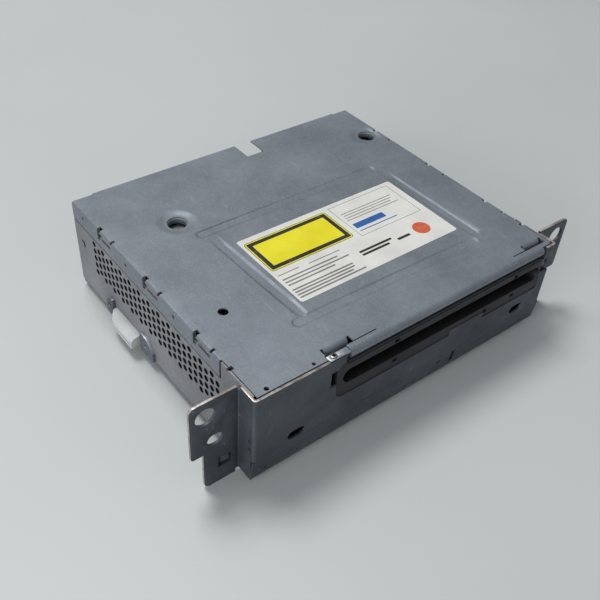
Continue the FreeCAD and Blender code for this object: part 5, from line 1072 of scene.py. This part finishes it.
def bumper(plan):
    bm = bmesh.new()
    side = plan["wallSide"]
    bow, middle, spread = plan["crown"]
    taper, power = plan["taper"]
    rings = []
    for step in range(plan["steps"] + 1):
        share = step / plan["steps"]
        y = plan["start"] + (plan["end"] - plan["start"]) * share
        late = max(0.0, (share - plan["turnIn"]) / (1 - plan["turnIn"]))
        swell = 1 - bow * (share - middle) ** 2 / spread - taper * late ** power
        reach = plan["reach"] * swell
        lift = plan["sink"] * late ** 2
        outer = [(side - reach * across, up - lift) for across, up in plan["hood"]]
        inner = [(side - max(reach * across - plan["thick"], 0.0) * 0.98,
                  up - lift - (plan["thick"] if across < 0.9 else 0.1))
                 for across, up in plan["hood"]]
        inner[-1] = (side - reach + plan["thick"], plan["hood"][-1][1] - lift)
        rings.append([bm.verts.new((x, y, z)) for x, z in outer + inner[::-1]])
    for near, far in zip(rings, rings[1:]):
        for index in range(len(near)):
            after = (index + 1) % len(near)
            bm.faces.new((near[index], near[after], far[after], far[index]))
    bm.faces.new(rings[0])
    bm.faces.new(rings[-1][::-1])
    # the core stands back under the hood; the front end is closed flat
    addBlock(bm, *plan["core"])
    addBlock(bm, *plan["rib"])
    cap = [(side - plan["reach"] * across * 0.97, up - 0.05) for across, up in plan["hood"]]
    cap += [(side - plan["reach"] * 0.95, plan["foot"]), (side, plan["foot"])]
    addPrism(bm, "Y", cap, plan["start"] + 0.05, plan["start"] + plan["endCap"])
    piece = meshObject("bumperPad", bm)
    soften(piece, plan["soften"], 3, 30)
    dress(piece, "housing", "bumperWhite", "side_bumper", smooth=50)


bumper(bumperPlan)


# Sticker: off-white sheet with plain coloured fields and ruled lines, no words or signs

stickerPlan = {"span": (-40.2, 57.1), "run": (35.6, 86.7), "corner": 1.4, "top": 50.8,
               "thick": 0.12, "ink": 0.03,
               "panel": ((-38.6, 59.5), (10.4, 83.3)), "panelCorner": 1.6,
               "ruled": ((-38.4, -26.5, 55.6, 0.5), (-21.0, -2.6, 55.2, 0.5),
                         (-38.4, -6.4, 52.1, 0.9), (-38.4, -1.3, 49.9, 0.9),
                         (-38.4, -11.3, 47.7, 0.9), (-38.8, -3.7, 44.1, 0.9),
                         (-38.8, -4.2, 42.2, 0.9), (-38.8, -6.4, 40.3, 0.9),
                         (-38.8, -0.4, 38.4, 0.9)),
               "fine": ((16.0, 49.2, 76.6), (16.4, 47.6, 74.7), (15.6, 46.0, 72.8),
                        (15.2, 49.4, 70.8)),
               "ruleHalf": 0.22, "frameHalf": 0.12, "frame": ((13.6, 57.6), (53.0, 84.0)),
               "insets": (("panelLine", "inkBlack", 0, 0.5), ("panelEdge", "inkYellow", 0.3, 0.75),
                          ("panelBorder", "inkBlack", 0.95, 1.0),
                          ("panelField", "inkYellow", 3.3, 1.25)),
               "bars": (("blueBar", "inkBlue", ((15.6, 35.0, 63.4, 67.4, 0.6, 3),
                                                (15.6, 40.0, 60.8, 61.4, 0.2, 2))),
                        ("darkBars", "inkBlack", ((4.0, 24.2, 47.6, 49.0, 0.4, 3),
                                                  (4.0, 21.0, 45.2, 46.6, 0.4, 3),
                                                  (26.4, 34.4, 45.0, 46.6, 0.4, 3)))),
               "dot": (42.7, 46.4, 4.6, 40)}


def sticker(plan):
    bm = bmesh.new()
    addPrism(bm, "Z", roundedBlock(*plan["span"], *plan["run"], plan["corner"]),
             plan["top"], plan["top"] + plan["thick"])
    paper = meshObject("stickerSheet", bm)
    dress(paper, "housing", "labelPaper", "label_sheet")
    floor = plan["top"] + plan["thick"]

    def printed(name, finish, shapes, level=1):
        bm = bmesh.new()
        for shape in shapes:
            addPrism(bm, "Z", shape, floor - 0.02, floor + plan["ink"] * level)
        dress(meshObject(name, bm), "housing", finish)

    (left, low), (right, high) = plan["panel"]
    corner = plan["panelCorner"]

    def inset(amount):
        return roundedBlock(left + amount, right - amount, low + amount, high - amount,
                            max(corner - amount, 0.25))

    for name, finish, amount, level in plan["insets"]:
        printed(name, finish, [inset(amount)], level)
    printed("ruledLines", "inkGrey", [
        roundedBlock(start, end, y - tall / 2, y + tall / 2, tall / 3, 2)
        for start, end, y, tall in plan["ruled"]])
    half = plan["ruleHalf"]
    thin = [roundedBlock(start, end, y - half, y + half, 0.1, 1)
            for start, end, y in plan["fine"]]
    (left, low), (right, high) = plan["frame"]
    half = plan["frameHalf"]
    thin += [roundedBlock(left, right, y - half, y + half, 0.05, 1) for y in (low, high)]
    thin += [roundedBlock(x - half, x + half, low, high, 0.05, 1) for x in (left, right)]
    printed("fineLines", "inkGrey", thin)
    for name, finish, bars in plan["bars"]:
        printed(name, finish, [roundedBlock(*bar) for bar in bars])
    printed("orangeDot", "inkOrange", [circle(*plan["dot"])])


sticker(stickerPlan)
print("bumper and sticker made")


# Screws, each with a six-lobed recess

screwShape = {"straight": 0.6, "crown": 0.82, "waist": 0.66, "sunk": 0.49, "sides": 28,
              "shankSides": 16, "lobes": 6, "weld": 0.000001}
sizeNames = ("HeadRadius", "HeadRise", "ShankRadius", "ShankLength", "RecessRadius",
             "RecessDepth")


def screwTree(shape):
    # one headed screw with a star recess at every point it is given
    nodes, given = openTree("screwSet", Float=sizeNames, Vector=("Turn",))

    def times(value, factor):
        return nodes.math("MULTIPLY", value, factor)

    def lifted(geometry, height):
        move = nodes.add("ShaderNodeCombineXYZ", {"Z": height}).outputs[0]
        return nodes.add("GeometryNodeTransform", {
            "Geometry": geometry, "Translation": move}).outputs[0]

    straight = times(given["HeadRise"], shape["straight"])
    slope = times(given["HeadRise"], 1 - shape["straight"])
    rim = nodes.add("GeometryNodeMeshCylinder", {
        "Vertices": shape["sides"], "Radius": given["HeadRadius"], "Depth": straight}).outputs[0]
    crown = nodes.add("GeometryNodeMeshCone", {
        "Vertices": shape["sides"], "Radius Bottom": given["HeadRadius"],
        "Radius Top": times(given["HeadRadius"], shape["crown"]), "Depth": slope}).outputs[0]
    shank = nodes.add("GeometryNodeMeshCylinder", {
        "Vertices": shape["shankSides"], "Radius": given["ShankRadius"],
        "Depth": given["ShankLength"]}).outputs[0]
    star = nodes.add("GeometryNodeCurveStar", {
        "Points": shape["lobes"], "Inner Radius": times(given["RecessRadius"], shape["waist"]),
        "Outer Radius": given["RecessRadius"]}).outputs[0]
    plane = nodes.add("GeometryNodeFillCurve", {0: star}).outputs[0]
    cutter = nodes.add("GeometryNodeExtrudeMesh", {
        "Mesh": plane, "Offset Scale": times(given["RecessDepth"], 2.0)}).outputs[0]
    flipped = nodes.add("GeometryNodeFlipFaces", {0: plane}).outputs[0]
    closed = nodes.add("GeometryNodeJoinGeometry")
    for geometry in (flipped, cutter):
        nodes.feed(closed.inputs[0], geometry)
    welded = nodes.add("GeometryNodeMergeByDistance", {
        "Geometry": closed.outputs[0], "Distance": shape["weld"]}).outputs[0]
    head = nodes.add("GeometryNodeMeshBoolean", operation="UNION", solver="EXACT")
    for geometry in (lifted(rim, times(straight, 0.5)), lifted(crown, straight),
                     lifted(shank, times(given["ShankLength"], -shape["sunk"]))):
        nodes.feed(head.inputs[1], geometry)
    cut = nodes.add("GeometryNodeMeshBoolean", operation="DIFFERENCE", solver="EXACT")
    nodes.feed(cut.inputs[0], head.outputs[0])
    floor = nodes.math("SUBTRACT", given["HeadRise"], given["RecessDepth"])
    nodes.feed(cut.inputs[1], lifted(welded, floor))
    placed = nodes.add("GeometryNodeInstanceOnPoints", {
        "Points": given["Geometry"], "Instance": cut.outputs[0], "Rotation": given["Turn"]})
    return closeTree(nodes, given, placed.outputs[0])


screwSets = {
    "transport_screws": {"name": "transportScrews", "finish": "brassScrew",
                         "spots": ((-54.5, 113.8, 45.4), (79.8, 127.6, 45.4)), "over": False,
                         "sizes": (3.1, 1.4, 1.2, 5.0, 1.5, 0.9)},
    "front_tab_screw": {"name": "tabScrew", "finish": "brassScrew",
                        "spots": ((-49.4, 2.4, 50.8),), "over": False,
                        "sizes": (1.6, 0.5, 0.8, 3.4, 1.0, 0.6)},
    "bottom_screws": {"name": "bottomScrews", "finish": "screwSteel", "over": True,
                      "spots": ((-85.6, 20.0, 0.0), (85.6, 20.0, 0.0), (-85.6, 148.0, 0.0),
                                (85.6, 148.0, 0.0)),
                      "sizes": (2.8, 1.2, 1.5, 2.6, 1.3, 0.7)},
}
screws = screwTree(screwShape)
for node, plan in screwSets.items():
    bm = bmesh.new()
    for spot in plan["spots"]:
        bm.verts.new(spot)
    piece = meshObject(plan["name"], bm)
    values = {name: size / 1000 for name, size in zip(sizeNames, plan["sizes"])}
    values["Turn"] = (math.pi, 0.0, 0.0) if plan["over"] else (0.0, 0.0, 0.0)
    values["Finish"] = finishes[plan["finish"]]
    grow(piece, screws, values)
    dress(piece, "housing", plan["finish"], node, smooth=35)
print("screws made")


# Contact pins inside the rear connector

pinPlan = {"columns": 8, "rows": 2, "start": -52.6, "pitch": 2.4, "blockPitch": 24.2,
           "low": 11.4, "rise": 7.6, "rear": 163.0, "length": 8.0, "half": 0.4,
           "blocks": 2, "soften": 0.1}


def pinTree():
    # short square pins at every point it is given
    nodes, given = openTree("pinSet", Vector=("PinSize",))
    pin = nodes.add("GeometryNodeMeshCube", {"Size": given["PinSize"]}).outputs[0]
    placed = nodes.add("GeometryNodeInstanceOnPoints", {
        "Points": given["Geometry"], "Instance": pin})
    return closeTree(nodes, given, placed.outputs[0])


def contactPins(plan):
    bm = bmesh.new()
    for block in range(plan["blocks"]):
        for column in range(plan["columns"]):
            for row in range(plan["rows"]):
                bm.verts.new((plan["start"] + block * plan["blockPitch"] + column * plan["pitch"],
                              plan["rear"] - plan["length"] / 2,
                              plan["low"] + row * plan["rise"]))
    piece = meshObject("contactPins", bm)
    size = (plan["half"] * 2, plan["length"], plan["half"] * 2)
    grow(piece, pinTree(), {"PinSize": tuple(value / 1000 for value in size),
                            "Finish": finishes["brassGear"]})
    soften(piece, plan["soften"], 1)
    dress(piece, "housing", "brassGear")


contactPins(pinPlan)


# What stays as packed gets its finish by its slot

slotFinishes = {
    "plate_steel": "plateSteel", "galvanised_steel": "frameZinc", "zinc_steel": "wallZinc",
    "dark_plastic": "bezelPlastic", "white_plastic": "bumperWhite", "pale_plastic": "palePlastic",
    "felt": "slotFelt", "label_paper": "labelPaper", "screw_steel": "screwSteel",
    "brass_screw": "brassScrew", "brass_gear": "brassGear", "board": "boardGreen",
    "capacitor_sleeve": "sleeveBlack", "sink_aluminium": "sinkAluminium",
    "motor_steel": "motorSteel", "shaft_steel": "shaftSteel", "spring_steel": "springSteel",
    "belt_rubber": "beltRubber", "roller_rubber": "rollerRubber",
    "damper_rubber": "damperRubber", "ribbon_film": "ribbonFilm", "sled_metal": "sledMetal",
    "lens_glass": "lensGlass",
}
for node in frame["nodes"].values():
    for holder in node.material_slots:
        key = holder.material.name.split(".")[0]
        if key in slotFinishes:
            holder.material = finishes[slotFinishes[key]]
print("packed nodes dressed")


# Floor, light and camera

stagePlan = {"floor": 3.0, "below": 0.0002, "world": 0.32, "sky": (0.93, 0.96, 1.0, 1.0),
             "finish": {"cloud": 3.0, "dark": (191, 195, 195), "pale": (196, 200, 200),
                        "roughness": 0.5},
             "key": {"place": (-0.1, 0.7, 1.75), "size": 0.75, "power": 20.5},
             "fill": {"place": (-1.25, -0.45, 0.5), "size": 0.9, "power": 9.5}}


def floorFinish(look):
    finish = Finish("floorPale")
    return finish.coat({"Base Color": finish.tones(finish.noise(look["cloud"], 4.0), look),
                        "Roughness": look["roughness"]})


def areaLight(name, plan, target):
    lamp = bpy.data.lights.new(name, "AREA")
    lamp.shape = "DISK"
    lamp.size = plan["size"]
    lamp.energy = plan["power"]
    holder = bpy.data.objects.new(name, lamp)
    holder.location = plan["place"]
    holder.rotation_mode = "QUATERNION"
    holder.rotation_quaternion = (Vector(target) - holder.location).to_track_quat("-Z", "Y")
    bpy.context.scene.collection.objects.link(holder)


def stage(plan):
    half = plan["floor"]
    level = cadBox[0][2] - plan["below"]
    mesh = bpy.data.meshes.new("floor")
    mesh.from_pydata([(-half, -half, level), (half, -half, level), (half, half, level),
                      (-half, half, level)], [], [(0, 1, 2, 3)])
    floor = bpy.data.objects.new("floor", mesh)
    bpy.context.scene.collection.objects.link(floor)
    mesh.materials.append(floorFinish(plan["finish"]))
    world = bpy.data.worlds.new("studio")
    world.use_nodes = True
    background = world.node_tree.nodes["Background"]
    background.inputs["Color"].default_value = plan["sky"]
    background.inputs["Strength"].default_value = plan["world"]
    bpy.context.scene.world = world
    areaLight("keyLight", plan["key"], (0, 0, 0))
    areaLight("fillLight", plan["fill"], (0, 0, 0))


# The camera solved from the photograph
cameraPlan = {"focal": 792.7, "frame": 600, "sensor": 36.0, "azimuth": -40.296,
              "elevation": 41.344, "roll": -4.135, "place": (-207.9, -160.8, 279.4),
              "clip": (0.01, 20.0)}


def camera(plan):
    turn, rise, roll = (math.radians(plan[key]) for key in ("azimuth", "elevation", "roll"))
    back = Vector((math.sin(turn) * math.cos(rise), -math.cos(turn) * math.cos(rise),
                   math.sin(rise)))
    right = Vector((0, 0, 1)).cross(back).normalized()
    up = back.cross(right)
    rolledRight = right * math.cos(roll) - up * math.sin(roll)
    rolledUp = right * math.sin(roll) + up * math.cos(roll)
    lens = bpy.data.cameras.new("photoCamera")
    lens.sensor_width = plan["sensor"]
    lens.lens = plan["focal"] / plan["frame"] * plan["sensor"]
    lens.clip_start, lens.clip_end = plan["clip"]
    holder = bpy.data.objects.new("photoCamera", lens)
    axes = Matrix((rolledRight, rolledUp, back)).transposed().to_4x4()
    holder.matrix_world = Matrix.Translation(playerPlace @ Vector(plan["place"])) @ axes
    bpy.context.scene.collection.objects.link(holder)
    bpy.context.scene.camera = holder


stage(stagePlan)
camera(cameraPlan)
bpy.context.scene.view_settings.view_transform = "Standard"
print("stage, light and camera set")
